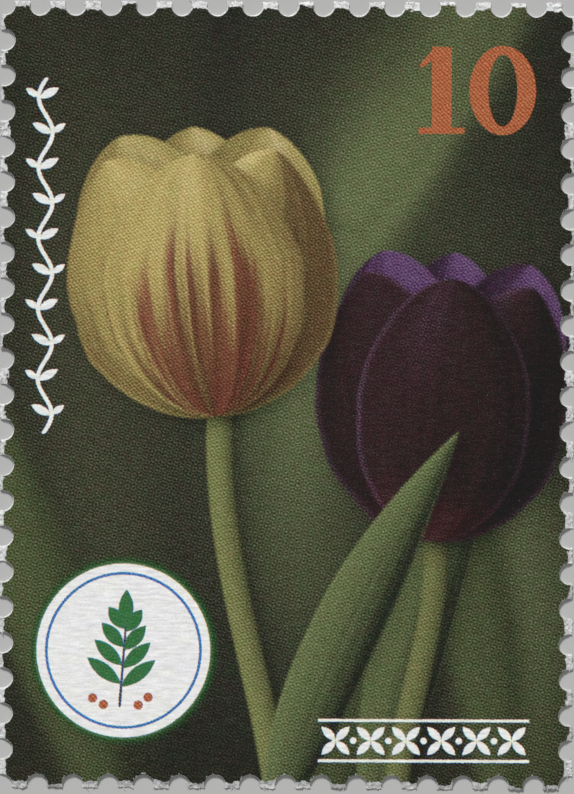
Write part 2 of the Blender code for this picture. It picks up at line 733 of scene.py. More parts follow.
@dataclass(frozen=True)
class Tulip:
    """A cup of six petals: three inner ones behind, two at the sides and one in front."""

    base: Point
    heading: float
    height: float
    half_girth: float
    seed: int
    finish: PetalFinish

    def petals(self) -> list[tuple[float, float, float, float, dict]]:
        """List the petals from the back to the front.

        Returns:
            Each petal's angle from the heading, its height and width as shares of the front
            one's, how far up its flames reach, and its form.
        """
        behind = {"widest": 0.62, "tip_power": 0.60, "side": Side.INNER}
        beside_front = {"widest": 0.52, "tip_power": 0.67}
        return [
            (0, 1.10, 0.69, 0.35, behind),
            (17, 1.12, 0.74, 0.40, behind | {"bend": -0.05, "turn": 8}),
            (-18, 1.11, 0.74, 0.40, behind | {"bend": 0.05, "turn": -8}),
            (30, 1.035, 0.83, 0.55, beside_front | {"bend": -0.20, "turn": 28}),
            (-29, 1.015, 0.83, 0.55, beside_front | {"bend": 0.20, "turn": -28}),
            (0, 1.00, 1.00, 0.72, {"widest": 0.48, "tip_power": 0.58}),
        ]

    def paint(self, plate: Plate) -> None:
        """Lay the six petals, from the back to the front.

        Args:
            plate: the picture.
        """
        shaded = self.finish.inner or self.finish.tones.dimmed(0.82, 0.74, 0.58)
        for number, (aside, tall, wide, flame_reach, form) in enumerate(self.petals()):
            length, half_width = self.height * tall, self.half_girth * wide
            heading, seed = self.heading + aside, self.seed + number
            blade = Blade(self.base, heading, length, half_width, seed, **form)
            tones = shaded if blade.side is Side.INNER else self.finish.tones
            self.finish.paint(blade, plate, tones, flame_reach)


class GardenPicture:
    """Two tulips, one yellow with flames and one dark, before leaves that are out of focus."""

    MOSS = srgb(57, 58, 44)
    DEEP = srgb(45, 46, 37)
    HAZE = srgb(110, 120, 80)
    OLIVE = srgb(69, 71, 52)
    STRAP = {"widest": 0.43, "tip_power": 0.9, "roll": 50.0, "lean": (-10.0, 30.0)}
    MARGIN = 0.3
    FAR_BLUR = 0.35

    def __init__(self, width: float, height: float, step: float = 0.06) -> None:
        """Paint the picture.

        Args:
            width: the stamp's width.
            height: the stamp's height.
            step: the size of a cell.
        """
        self.plate = Plate.blank(width + 2 * self.MARGIN, height + 2 * self.MARGIN, step)
        self.paint_ground(height / 2)
        self.paint_far_leaves()
        for part in self.dark_tulip() + self.yellow_tulip():
            part.paint(self.plate)

    def paint_ground(self, top: float) -> None:
        """Lay the dim ground with its soft upright bands of light.

        Args:
            top: half the stamp's height.
        """
        x, y = self.plate.x, self.plate.y
        warp = 1.2 * Noise(3).layered(x / 9, y / 14)
        level = y / 17

        def band(centre: float, tilt: float, bow: float, width: float) -> Array:
            """Give a soft band across the ground."""
            return bell(x - (centre + warp + tilt * level + bow * level**2), width)

        patches = np.clip(0.55 + 0.5 * Noise(4).layered(x / 7 + 3, y / 13), 0, 1)
        self.plate.colour[...] = blend(self.DEEP, self.MOSS, patches)
        for colour, mask in (
            (self.HAZE, 0.75 * band(1.5, 3.5, 3.2, 2.6) * smooth(-17, 6, y)),
            (self.OLIVE, 0.55 * band(-8.5, -2.0, -2.0, 2.4)),
            (self.HAZE, 0.55 * band(9.5, -4.0, -3.0, 1.7) * smooth(10, -12, y)),
            (self.DEEP, 0.65 * band(-4.0, 1.0, 1.0, 1.8) * smooth(-2, 12, y)),
            (self.HAZE * 1.15, 0.42 * band(3.1, 4.1, 3.0, 0.40) * smooth(-4, 12, y)),
            (self.DEEP, 0.50 * band(4.6, 4.3, 3.0, 0.9) * smooth(-4, 12, y)),
        ):
            self.plate.lay(mask, colour)
        rim = smooth(0.55, 1.3, np.hypot(x * 1.25, y) / top)
        self.plate.colour[...] *= 1 - 0.35 * rim[..., None]

    def paint_far_leaves(self) -> None:
        """Lay three blurred leaves over the ground."""
        for base, angle, length, half_width, bend, seed in (
            ((9.6, -18.5), 98, 25, 1.55, 0.05, 11),
            ((-7.0, -18.5), 112, 22, 1.7, -0.08, 12),
            ((1.0, -19.0), 70, 24, 1.5, -0.06, 15),
        ):
            blade = Blade(base, angle, length, half_width, seed, bend=bend, **self.STRAP)
            Leaf(blade, LEAF.dimmed(0.62, 0.7, 0.78), focus=0.45).paint(self.plate)
        self.plate.soften(self.FAR_BLUR)

    def dark_tulip(self) -> list[Union[Leaf, Stem, Tulip]]:
        """List the dark tulip's parts.

        Returns:
            The parts, from the back to the front.
        """
        finish = PetalFinish(
            MAROON, 0.15, 1.1, 0.40, PURPLE_EDGE, 0.07,
            base_tint=RED_BASE, sheen=PURPLE_SHEEN, inner=VIOLET,
        )
        blade = Blade((3.6, -18.5), 80, 21, 1.6, 21, bend=-0.10, turn=-15, **self.STRAP)
        controls = (4.6, -18.0), (5.0, -13.0), (6.8, -9.5), (6.3, -5.6)
        return [
            Leaf(blade, LEAF.dimmed(0.9, 0.9, 1.0), 0.12),
            Stem(controls, 0.52, STEM.dimmed(0.85, 1.0, 1.0), 0.08),
            Tulip((6.3, -6.2), 86, 11.2, 3.7, 31, finish),
        ]

    def yellow_tulip(self) -> list[Union[Leaf, Stem, Tulip]]:
        """List the yellow tulip's parts.

        Returns:
            The parts, from the back to the front.
        """
        finish = PetalFinish(
            YELLOW, 0.11, flame=FLAME, base_tint=GREEN_BASE, sheen=YELLOW_SHEEN, sheen_focus=18.0
        )
        controls = (-0.2, -18.0), (-0.8, -12.0), (-3.2, -7.0), (-2.8, -0.3)
        blade = Blade((-0.6, -18.5), 74, 18.5, 1.55, 23, bend=-0.16, turn=-20, **self.STRAP)
        return [
            Stem(controls, 0.56, STEM),
            Leaf(blade, LEAF, 0.06),
            Tulip((-3.0, -0.9), 95, 11.2, 4.2, 41, finish),
        ]


# Crisp ornament: shapes with sharp edges, as depths inside their outlines


def steps_between(start: Point, end: Point, step: float) -> Array:
    """Give evenly spaced points from one point to another, with both of them."""
    return np.linspace(start, end, max(2, round(math.dist(start, end) / step)))


class Shape:
    """A flat shape. Its depth is the distance inside its outline, and negative outside."""

    def depth(self, x: Array, y: Array) -> Array:
        """Give the depth at some points, which is true near the outline."""
        raise NotImplementedError

    def spine(self, step: float) -> Array:
        """Give points along the shape's middle line, where it is too thin for an even grid."""
        return np.zeros((0, 2))


@dataclass(frozen=True)
class Disc(Shape):
    """A round spot."""

    x: float
    y: float
    radius: float

    def depth(self, x: Array, y: Array) -> Array:
        """Give the depth at some points."""
        return self.radius - np.hypot(x - self.x, y - self.y)


@dataclass(frozen=True)
class Hoop(Shape):
    """A thin ring."""

    x: float
    y: float
    radius: float
    half_width: float

    def depth(self, x: Array, y: Array) -> Array:
        """Give the depth at some points."""
        return self.half_width - np.abs(np.hypot(x - self.x, y - self.y) - self.radius)

    def spine(self, step: float) -> Array:
        """Give points round the ring.

        Args:
            step: the distance between them.

        Returns:
            The points.
        """
        count = round(2 * math.pi * self.radius / step)
        angle = np.arange(count) * 2 * math.pi / count
        return np.stack((self.x + self.radius * np.cos(angle), self.y + self.radius * np.sin(angle)), 1)


@dataclass(frozen=True)
class Oval(Shape):
    """An upright or lying ellipse."""

    x: float
    y: float
    half_width: float
    half_height: float

    def depth(self, x: Array, y: Array) -> Array:
        """Give the depth at some points, which is true near the outline.

        Args:
            x: the points' places to the right.
            y: their places upwards.

        Returns:
            The depths.
        """
        run, rise = (x - self.x) / self.half_width, (y - self.y) / self.half_height
        near = np.hypot(run, rise)
        return -near * (near - 1) / (np.hypot(run / self.half_width, rise / self.half_height) + 1e-9)


@dataclass(frozen=True)
class Bar(Shape):
    """A rectangle along the axes."""

    x: float
    y: float
    half_width: float
    half_height: float

    def depth(self, x: Array, y: Array) -> Array:
        """Give the depth at some points.

        Args:
            x: the points' places to the right.
            y: their places upwards.

        Returns:
            The depths.
        """
        run = np.abs(x - self.x) - self.half_width
        rise = np.abs(y - self.y) - self.half_height
        outside = np.hypot(np.maximum(run, 0), np.maximum(rise, 0))
        return -(outside + np.minimum(np.maximum(run, rise), 0))

    def spine(self, step: float) -> Array:
        """Give points along the bar's longer middle line.

        Args:
            step: the distance between them.

        Returns:
            The points.
        """
        reach_x = max(self.half_width - self.half_height, 0)
        reach_y = max(self.half_height - self.half_width, 0)
        start, end = (self.x - reach_x, self.y - reach_y), (self.x + reach_x, self.y + reach_y)
        return steps_between(start, end, step)


@dataclass(frozen=True)
class Leaflet(Shape):
    """A small pointed leaf from its base towards an angle."""

    x: float
    y: float
    angle: float
    length: float
    half_width: float

    def depth(self, x: Array, y: Array) -> Array:
        """Give the depth at some points, which is true near the outline.

        Args:
            x: the points' places to the right.
            y: their places upwards.

        Returns:
            The depths.
        """
        along, across = turned(x - self.x, y - self.y, self.angle)
        along = along / self.length * 2 - 1
        inside = self.half_width * (1 - along**2) - np.abs(across)
        slope = np.sqrt(1 + (4 * self.half_width * np.abs(along) / self.length) ** 2)
        beyond = -np.hypot((np.abs(along) - 1) * self.length / 2, across)
        return np.where(np.abs(along) < 1, inside / slope, beyond)

    def spine(self, step: float) -> Array:
        """Give points along the midrib.

        Args:
            step: the distance between them.

        Returns:
            The points.
        """
        heading = math.radians(self.angle)
        tip = (self.x + self.length * math.cos(heading), self.y + self.length * math.sin(heading))
        return steps_between((self.x, self.y), tip, step)


@dataclass(frozen=True)
class Stroke(Shape):
    """A straight stroke with round ends, which may taper."""

    start: Point
    end: Point
    radius: float
    end_radius: float

    def depth(self, x: Array, y: Array) -> Array:
        """Give the depth at some points."""
        ahead, off_x, off_y = beside(self.start, self.end, x, y)
        return self.radius + (self.end_radius - self.radius) * ahead - np.hypot(off_x, off_y)

    def spine(self, step: float) -> Array:
        """Give points along the stroke."""
        return steps_between(self.start, self.end, step)


@dataclass(frozen=True)
class Tendril(Shape):
    """A wavy upright line."""

    x: float
    low: float
    high: float
    swing: float
    wave: float
    half_width: float

    def middle(self, y: Array) -> Array:
        """Give how far to the right the line lies at some heights."""
        return self.x + self.swing * np.sin(2 * math.pi * (y - self.low) / self.wave)

    def depth(self, x: Array, y: Array) -> Array:
        """Give the depth at some points, which is true near the line.

        Args:
            x: the points' places to the right.
            y: their places upwards.

        Returns:
            The depths.
        """
        turns = 2 * math.pi / self.wave
        slope = self.swing * turns * np.cos(turns * (y - self.low))
        off = (x - self.middle(y)) / np.sqrt(1 + slope**2)
        return self.half_width - np.hypot(off, y - np.clip(y, self.low, self.high))

    def spine(self, step: float) -> Array:
        """Give points along the line."""
        y = np.arange(self.low, self.high, step)
        return np.stack((self.middle(y), y), 1)


@dataclass(frozen=True)
class Cut(Shape):
    """One shape with another taken out of it."""

    outer: Shape
    inner: Shape

    def depth(self, x: Array, y: Array) -> Array:
        """Give the depth at some points."""
        return np.minimum(self.outer.depth(x, y), -self.inner.depth(x, y))


@dataclass(frozen=True)
class Ornament:
    """Shapes of one flat colour."""

    colour: Array
    shapes: Sequence[Shape]

    def depth(self, x: Array, y: Array) -> Array:
        """Give the depth in the deepest of the shapes."""
        return np.maximum.reduce([shape.depth(x, y) for shape in self.shapes])


PAPER_WHITE = srgb(230, 232, 231)
ORANGE = srgb(170, 98, 64)
SPRIG_GREEN = srgb(58, 112, 66)
LINE_GREY = srgb(70, 72, 74)
HOOP_BLUE = srgb(66, 116, 168)


@dataclass(frozen=True)
class Layout:
    """The ornament on the face: a plain numeral, a vine, a band of flowers and a round panel."""

    numeral_foot: float = 11.15
    numeral_top: float = 14.85
    one_x: float = 6.55
    nought_x: float = 9.15
    nought_half_width: float = 1.42
    vine_x: float = -10.3
    vine_low: float = -1.6
    vine_high: float = 13.4
    vine_wave: float = 3.0
    vine_swing: float = 0.30
    vine_half_width: float = 0.085
    band_left: float = 1.4
    band_right: float = 10.4
    band_y: float = -14.7
    band_step: float = 1.5
    band_half_height: float = 0.86
    panel: Disc = Disc(-6.9, -10.9, 3.7)
    hoop_inset: float = 0.42
    line_half_width: float = 0.06

    def numeral(self) -> Ornament:
        """Give a plain ten with bracketed serifs.

        Returns:
            The numeral.
        """
        top, foot = self.numeral_top, self.numeral_foot
        middle, half, left = (top + foot) / 2, (top - foot) / 2, self.one_x
        outer = Oval(self.nought_x, middle, self.nought_half_width, half + 0.05)
        shapes = [
            Bar(left, middle, 0.42, half),
            Bar(left, foot + 0.13, 0.98, 0.13),
            Stroke((left - 0.20, top - 0.16), (left - 0.83, top - 0.78), 0.17, 0.10),
            Cut(outer, Oval(self.nought_x, middle, 0.62, half - 0.32)),
        ]
        return Ornament(ORANGE, shapes)

    def vine(self) -> list[Shape]:
        """Give a wavy stem with a leaf and a leaflet at each bend.

        Returns:
            The shapes.
        """
        low, high, swing, half = self.vine_low, self.vine_high, self.vine_swing, self.vine_wave / 2
        shapes: list[Shape] = [Tendril(self.vine_x, low, high, swing, 2 * half, self.vine_half_width)]
        for bend in range(round((high - low) / half)):
            side = 1 if bend % 2 == 0 else -1
            x, y = self.vine_x + swing * side, low + half * (bend + 0.5)
            shapes.append(Leaflet(x - 0.02 * side, y - 0.05, 90 + side * 62, 0.95, 0.18))
            shapes.append(Leaflet(x, y, 90 - side * 55, 0.66, 0.14))
        return shapes

    def band(self) -> list[Shape]:
        """Give a row of four-petalled flowers between two lines.

        Returns:
            The shapes.
        """
        left, right, y, step = self.band_left, self.band_right, self.band_y, self.band_step
        shapes: list[Shape] = []
        count = round((right - left) / step)
        for number in range(count):
            x = left + step * (number + 0.5)
            shapes += [Leaflet(x, y, 45 + 90 * petal, 0.84, 0.17) for petal in range(4)]
            if number < count - 1:
                shapes.append(Disc(x + step / 2, y, 0.14))
        for line_y in (y - self.band_half_height, y + self.band_half_height):
            shapes.append(Bar((left + right) / 2, line_y, (right - left) / 2, self.line_half_width))
        return shapes

    def sprig(self) -> list[Ornament]:
        """Give the panel's motif: a sprig with berries in a thin ring.

        Returns:
            The motif's colours, each with its shapes.
        """
        x, y = self.panel.x, self.panel.y
        leaves = [Leaflet(x + 0.08, y + 1.0, 88, 1.6, 0.32)]
        for pair in range(4):
            foot = y - 1.55 + 0.78 * pair
            rib = x - 0.15 + 0.25 * (foot - y + 2.3) / 3.4
            length = 1.85 - 0.22 * pair
            leaves.append(Leaflet(rib, foot, 38 + 5 * pair, length, 0.30))
            leaves.append(Leaflet(rib, foot + 0.12, 142 - 5 * pair, length, 0.30))
        spots = ((-1.30, -2.02), (-0.84, -2.30), (1.06, -1.99), (0.64, -2.32))
        return [
            Ornament(SPRIG_GREEN, leaves),
            Ornament(LINE_GREY, [Stroke((x - 0.15, y - 2.35), (x + 0.1, y + 1.1), 0.06, 0.045)]),
            Ornament(ORANGE, [Disc(x + right, y + up, 0.20) for right, up in spots]),
            Ornament(HOOP_BLUE, [Hoop(x, y, self.panel.radius - self.hoop_inset, self.line_half_width)]),
        ]

    def ornaments(self) -> list[Ornament]:
        """Give all the crisp ornament, but not the panel's white ground."""
        return [self.numeral(), Ornament(PAPER_WHITE, self.vine() + self.band())] + self.sprig()


# Printing: four inks, of which three are screened into dots that show


@dataclass(frozen=True)
class Ink:
    """One process ink: its colour on white, its screen, and how far its plate is off register.

    The contrast is that of its dots, and the shape gives it along and across the screen's angle.
    """

    colour: Colour
    angle: float = 0.0
    contrast: float = 0.0
    shape: tuple[float, float] = (1.0, 1.0)
    shift: Point = (0.0, 0.0)


CYAN = Ink((0.04, 0.31, 0.64), 15.0, 0.055, (0.7, 1.6), (-0.005, -0.004))
MAGENTA = Ink((0.62, 0.045, 0.20), 45.0, 0.067, (1.5, 0.7), (0.004, 0.005))
YELLOW_INK = Ink((0.90, 0.78, 0.05), shift=(0.013, 0.012))
BLACK = Ink((0.03, 0.03, 0.03), 75.0, 0.049, (1.2, 0.85))


@dataclass(frozen=True)
class Press:
    """Prints colours with dots: how coarse the screens are and how even the ink lies."""

    period: float = 0.1348
    black_start: float = 0.74
    most_black: float = 0.95
    eye: float = 2.2
    blackest: float = 0.135
    wander: float = 7.0
    ink_grain: float = 0.10
    paper_grain: float = 0.22
    streaks: float = 0.24
    tint: float = 0.04
    trap: float = 0.008
    nibble: float = 0.045
    edge_blur: Colour = (0.024, 0.024, 0.050)
    rounds: int = 14

    def cover(self, colour: Array) -> Array:
        """Work out how much of each ink gives a colour on average.

        Args:
            colour: linear colours, as light reflected by the print.

        Returns:
            The share of the sheet under cyan, magenta, yellow and black.
        """
        want = np.clip(colour / PAPER_WHITE, 0.006, 1.0)
        darkness = (1 - want.max(-1) - self.black_start) / (1 - self.black_start)
        black = self.most_black * np.clip(darkness, 0, 1)
        inks = [np.array(ink.colour) for ink in (CYAN, MAGENTA, YELLOW_INK)]
        rest = np.clip(want / (1 - black[..., None] * (1 - BLACK.colour[0])), 0.002, 1.0)
        cover = [np.full(black.shape, 0.3) for _ in inks]
        for _ in range(self.rounds):
            for own in range(3):
                others = math.prod(
                    1 - cover[other] * (1 - inks[other][own]) for other in range(3) if other != own
                )
                cover[own] = np.clip((1 - rest[..., own] / others) / (1 - inks[own][own]), 0, 1)
        return np.stack(cover + [black], -1)

    def screens(self, colour: Array) -> Array:
        """Work out how strongly the cyan, magenta and black dots show.

        Args:
            colour: linear colours.

        Returns:
            The three strengths for each colour.
        """
        cover = self.cover(colour)
        shown = []
        for place, ink in ((0, CYAN), (1, MAGENTA), (3, BLACK)):
            share, dark = cover[..., place], 1 - brightness(np.array(ink.colour))
            shown.append(ink.contrast * 4 * share * (1 - share) * dark / (1 - share * dark))
        filled_in = 0.25 + 0.75 * smooth(0.013, 0.034, brightness(colour))
        return np.stack(shown, -1) * filled_in[..., None]

    def laid(self, graph: Graph, white: Wire) -> tuple[Wire, Wire]:
        """Lay the panel and the ornament over the picture.

        Args:
            graph: the material's graph.
            white: the paper's own colour.

        Returns:
            The colour, and how strongly each screen shows.
        """
        nibbled = graph.noise(0.075, 1.0).around(self.nibble)
        colour, screens = graph.attribute("picture_colour"), graph.attribute("picture_screens")
        ornament = graph.attribute("ornament_colour"), graph.attribute("ornament_screens")
        for name, over, over_screens in (
            ("panel_depth", white, (0.0, 0.0, 0.0)),
            ("ornament_depth", *ornament),
        ):
            inside = graph.eased_each(graph.shifted(graph.attribute(name), nibbled), self.edge_blur)
            colour = graph.mixed_each(colour, over, inside)
            screens = graph.mixed_each(screens, over_screens, inside)
        return colour, screens

    def dots(self, graph: Graph, strengths: list[Wire]) -> Wire:
        """Work out what the three screens of dots do to the light.

        Args:
            graph: the material's graph.
            strengths: how strongly each screen shows.

        Returns:
            How many times brighter each place is.
        """
        x, y, _ = graph.parts(graph.place())
        wave = 2 * math.pi / (self.period * MM)
        jitter = [part * self.wander for part in graph.parts(graph.noise(0.26, 1.0, output="Color"))]
        light: Value = 1.0
        for number, ink in enumerate((CYAN, MAGENTA, BLACK)):
            along, across = turned(x * wave, y * wave, ink.angle)
            phases = along + jitter[number], across + jitter[number - 1]
            for phase, form in zip(phases, ink.shape):
                light = light * (phase.cosine() * strengths[number] * form + 1.0)
        return light

    def printed(self, graph: Graph, white: Wire) -> Wire:
        """Build the shader of the printed colour. Dots and grain are added to it as the eye sees it.

        Args:
            graph: the material's graph.
            white: the paper's own colour.

        Returns:
            The picture and the ornament, broken up by three screens of dots.
        """
        colour, screens = self.laid(graph, white)
        red, green, blue = graph.parts(graph.curved(colour, 1 / self.eye))
        bright = red * 0.2126 + green * 0.7152 + blue * 0.0722
        inked = 1.0 - bright.eased(0.62, 0.86)
        grain = graph.noise(0.055).around(inked * self.ink_grain + self.paper_grain)
        streak = graph.noise(0.11, 2.0, (6.0, 1.0, 1.0)).around((inked * -0.6 + 1.0) * self.streaks)
        drift = graph.noise(0.42).around(inked * self.tint)
        shift = bright * (self.dots(graph, graph.parts(screens)) - 1.0) + grain + streak
        shown = [
            graph.maths("MAXIMUM", part + shift, self.blackest)
            for part in (red + drift, green - drift, blue)
        ]
        together = graph.wire("ShaderNodeCombineXYZ", None, dict(enumerate(shown)))
        return graph.curved(together, self.eye)


# The cut edge


@dataclass(frozen=True)
class Level:
    """One height of the cut edge, how the outline differs there, and how deep in ink it is."""

    height: float
    hole_growth: float
    tear_setback: float
    drag: float
    ink: float = 0.0


@dataclass(frozen=True)
class Perforation:
    """The stamp's outline: punched half holes and torn teeth, as on the solids."""

    gauge: float = 13.25
    pitches_across: int = 16
    pitches_up: int = 22
    hole_radius: float = 0.45
    hole_unevenness: float = 0.010
    tear_reach: float = 0.12
    tear_unevenness: float = 0.03
    tear_steps: int = 4
    tear_seed: int = 13
    hole_steps: int = 19
    corner_steps: int = 11
    tip_steps: int = 18
    fray: float = 0.024
    drag: Point = (-0.029, 0.036)
    drag_unevenness: float = 0.010
    left_drag: float = 0.6
    bare: float = 0.085
    bare_by_tooth: float = 0.150
    bare_unevenness: float = 0.080
    thinned: float = 0.075
    tufted: float = 0.024
    most_lost: float = 0.082

    @property
    def pitch(self) -> float:
        """Give the distance between holes."""
        return 20.0 / self.gauge

    @property
    def half_width(self) -> float:
        """Give half the distance between the left and right lines of holes."""
        return self.pitches_across * self.pitch / 2

    @property
    def half_height(self) -> float:
        """Give half the distance between the lower and upper lines of holes."""
        return self.pitches_up * self.pitch / 2

    def holes(self) -> list[tuple[Array, int, int]]:
        """List the holes, counterclockwise from the lower left corner.

        Returns:
            Each hole's centre, and the quarter turns that the outline heads in before and after.
        """
        centre, arriving = np.array((-self.half_width, -self.half_height)), 3
        found = []
        for leaving, count in enumerate((self.pitches_across, self.pitches_up) * 2):
            for _ in range(count):
                found.append((centre, arriving, leaving))
                arriving = leaving
                centre = centre + self.pitch * np.round(quarter_turn(leaving))
        return found

    def teeth(self, count: int) -> list[list[float]]:
        """Draw how far each tooth's torn tip reaches past the line of hole centres.

        Args:
            count: the number of teeth.

        Returns:
            Each tooth's reach at even steps across it.
        """
        draw = random.Random(self.tear_seed)
        reaches = range(self.tear_steps + 1)
        return [
            [self.tear_reach + draw.uniform(-1, 1) * self.tear_unevenness for _ in reaches]
            for _ in range(count)
        ]

    def drags(self, count: int) -> Array:
        """Draw which way, and how far, each pin has dragged the back of the sheet.

        Args:
            count: the number of holes.

        Returns:
            Each hole's steps to the right and upwards.
        """
        draw = np.random.default_rng(self.tear_seed)
        found = np.array(self.drag) + draw.uniform(-1, 1, (count, 2)) * self.drag_unevenness
        found[-self.pitches_up :] *= self.left_drag
        return found

    def ring(self, level: Level) -> Array:
        """Work the outline out at one level. Every level's ring has the same number of points.

        Args:
            level: the level.

        Returns:
            The points, counterclockwise seen from above.
        """
        holes = self.holes()
        teeth, drags = self.teeth(len(holes)), self.drags(len(holes))
        rough = Noise(61)
        radius = self.hole_radius + level.hole_growth
        share = (np.arange(1, self.tip_steps) / self.tip_steps)[:, None]
        points = []
        for index, (centre, arriving, leaving) in enumerate(holes):
            before = teeth[index - 1][-1] - level.tear_setback
            reaches = [reach - level.tear_setback for reach in teeth[index]]
            start = (arriving + 2) * math.pi / 2 + math.asin(before / radius)
            sweep = (2 - (leaving - arriving) % 4) * math.pi / 2
            sweep += math.asin(before / radius) + math.asin(reaches[0] / radius)
            steps = self.hole_steps if leaving == arriving else self.corner_steps
            angle = start - sweep * np.arange(steps + 1) / steps
            way = np.stack((np.cos(angle), np.sin(angle)), 1)
            uneven = self.hole_unevenness * np.sin(np.linspace(0, math.pi, steps + 1))
            away = radius + uneven * rough(3 * way[:, 0] + 5 * index, 3 * way[:, 1])
            points.append(centre + away[:, None] * way + level.drag * drags[index])
            drag = drags[index] * (1 - share) + drags[(index + 1) % len(holes)] * share
            points.append(centre + self.tip(index, leaving, reaches, radius) + level.drag * drag)
        return np.concatenate(points)

    def tip(self, index: int, leaving: int, reaches: list[float], radius: float) -> Array:
        """Work out one tooth's frayed tip, without its ends.

        Args:
            index: the tooth's number.
            leaving: the quarter turn along the side.
            reaches: how far the tear reaches at even steps.
            radius: the holes' radius.

        Returns:
            The points, from the centre of the hole before it.
        """
        torn = Noise(62)
        first = math.sqrt(radius**2 - reaches[0] ** 2)
        last = self.pitch - math.sqrt(radius**2 - reaches[-1] ** 2)
        share = np.arange(1, self.tip_steps) / self.tip_steps
        run = first + (last - first) * share
        reach = np.interp(share * self.tear_steps, range(self.tear_steps + 1), reaches)
        fringe = torn(run * 9 + 3.1 * index, 2.0 * index) + torn(run * 21 + index, 1.7 * index)
        reach = reach + self.fray * fringe * np.sin(math.pi * share) ** 0.5
        return run[:, None] * quarter_turn(leaving) + reach[:, None] * quarter_turn(leaving - 1)

    def inset(self, x: Array, y: Array) -> Array:
        """Work out how far points lie inside the outline.

        Args:
            x: the points' places to the right.
            y: their places upwards.

        Returns:
            The distances, negative outside.
        """
        nearest_x = np.clip(np.round((x + self.half_width) / self.pitch), 0, self.pitches_across)
        nearest_y = np.clip(np.round((y + self.half_height) / self.pitch), 0, self.pitches_up)
        hole_x = nearest_x * self.pitch - self.half_width
        hole_y = nearest_y * self.pitch - self.half_height
        to_sides = np.hypot(x - np.sign(x) * self.half_width, y - hole_y)
        to_ends = np.hypot(x - hole_x, y - np.sign(y) * self.half_height)
        inside = np.minimum(to_sides, to_ends) - self.hole_radius
        return np.minimum(inside, self.tear_reach - self.tear_unevenness - self.outside_holes(x, y))

    def outside_holes(self, x: Array, y: Array) -> Array:
        """Give how far points lie outside the lines of hole centres, negative inside."""
        return np.maximum(np.abs(x) - self.half_width, np.abs(y) - self.half_height)

    def peel(self, x: Array, y: Array) -> Array:
        """Work out how far points lie inside the print, which a tooth's torn tip has lost.

        Args:
            x: the points' places to the right.
            y: their places upwards.

        Returns:
            The distances, negative on bare paper.
        """
        sideways = np.abs(x) - self.half_width > np.abs(y) - self.half_height
        run = np.where(sideways, y, x)
        side = np.where(sideways, np.sign(x), 2 * np.sign(y))
        tooth = np.floor((run + self.half_width + 40 * self.pitch) / self.pitch)
        own = Noise(64)(tooth * 3.7 + 11.3 * side, 5.9 * side)
        ragged = Noise(65)
        across = self.outside_holes(x, y)
        uneven = ragged(run / 0.26 + 31 * side, across / 0.14) + 0.6 * ragged(run / 0.08, across / 0.08)
        return -(across + self.bare + self.bare_by_tooth * own + self.bare_unevenness * uneven)

    def tear_stain_and_shade(self, x: Array, y: Array) -> Array:
        """Work out how much ink a tear has kept, with painted shade: least at the top, most at the
        bottom.

        Args:
            x: the points' places to the right.
            y: their places upwards.

        Returns:
            The stain, from 0 to 1.
        """
        # Painted shade: tips at the right and bottom are darker, as if turned away from the light; the
        # noise is a random stain.
        right = smooth(-0.5, 0.3, np.abs(x) - self.half_width) * (x > 0)
        below = smooth(-0.5, 0.3, np.abs(y) - self.half_height) * (y < 0)
        own = Noise(69)(x / self.pitch * 0.7 + 3, y / self.pitch * 0.7)
        return np.clip(0.10 + 0.22 * right + 0.28 * below + 0.22 * own, 0.0, 1.0)

    def torn_loss(self, x: Array, y: Array) -> Array:
        """Work out how much thickness a torn tip has lost.

        Args:
            x: the points' places to the right.
            y: their places upwards.

        Returns:
            The loss.
        """
        bare = -self.peel(x, y)
        tufts = Noise(66)(x / 0.11, y / 0.11) + 0.7 * Noise(67)(x / 0.055, y / 0.055)
        slope = self.thinned * np.clip((bare + 0.02) / 0.24, 0, 1)
        return np.clip(slope + self.tufted * tufts * smooth(-0.03, 0.10, bare), 0.0, self.most_lost)


# Making meshes


def pick(item: Optional[bpy.types.Object]) -> None:
    """Leave edit mode and select one object alone, or none.

    Args:
        item: the object, which becomes active, or None.
    """
    if bpy.context.object and bpy.context.object.mode != "OBJECT":
        bpy.ops.object.mode_set(mode="OBJECT")
    bpy.ops.object.select_all(action="DESELECT")
    if item:
        item.select_set(True)
        bpy.context.view_layer.objects.active = item


@contextmanager
def editing(action: str) -> Iterator[None]:
    """Work on the active object in edit mode.

    Args:
        action: SELECT or DESELECT, for all of its points at the start.

    Yields:
        Nothing.
    """
    bpy.ops.object.mode_set(mode="EDIT")
    bpy.ops.mesh.select_mode(type="VERT")
    bpy.ops.mesh.select_all(action=action)
    yield
    bpy.ops.object.mode_set(mode="OBJECT")


def get_places(mesh: bpy.types.Mesh) -> Array:
    """Read a mesh's points.

    Args:
        mesh: the mesh.

    Returns:
        Their places.
    """
    flat = np.empty(len(mesh.vertices) * 3, np.float32)
    mesh.vertices.foreach_get("co", flat)
    return flat.reshape(-1, 3).astype(float) / MM


def set_places(mesh: bpy.types.Mesh, first: int, places: Array) -> None:
    """Move a mesh's points.

    Args:
        mesh: the mesh.
        first: the first point to move.
        places: where it and those after it go.
    """
    moved = get_places(mesh)
    moved[first : first + len(places)] = places
    mesh.vertices.foreach_set("co", (moved * MM).astype(np.float32).ravel())
    mesh.update()


def new_object(name: str, places: Array, faces: Sequence[Sequence[int]]) -> bpy.types.Object:
    """Make an object of points and faces.

    Args:
        name: its name.
        places: the points' places.
        faces: each face's corners, by their numbers.

    Returns:
        The object.
    """
    mesh = bpy.data.meshes.new(name)
    mesh.from_pydata((places * MM).tolist(), [], faces)
    item = bpy.data.objects.new(name, mesh)
    bpy.context.scene.collection.objects.link(item)
    return item


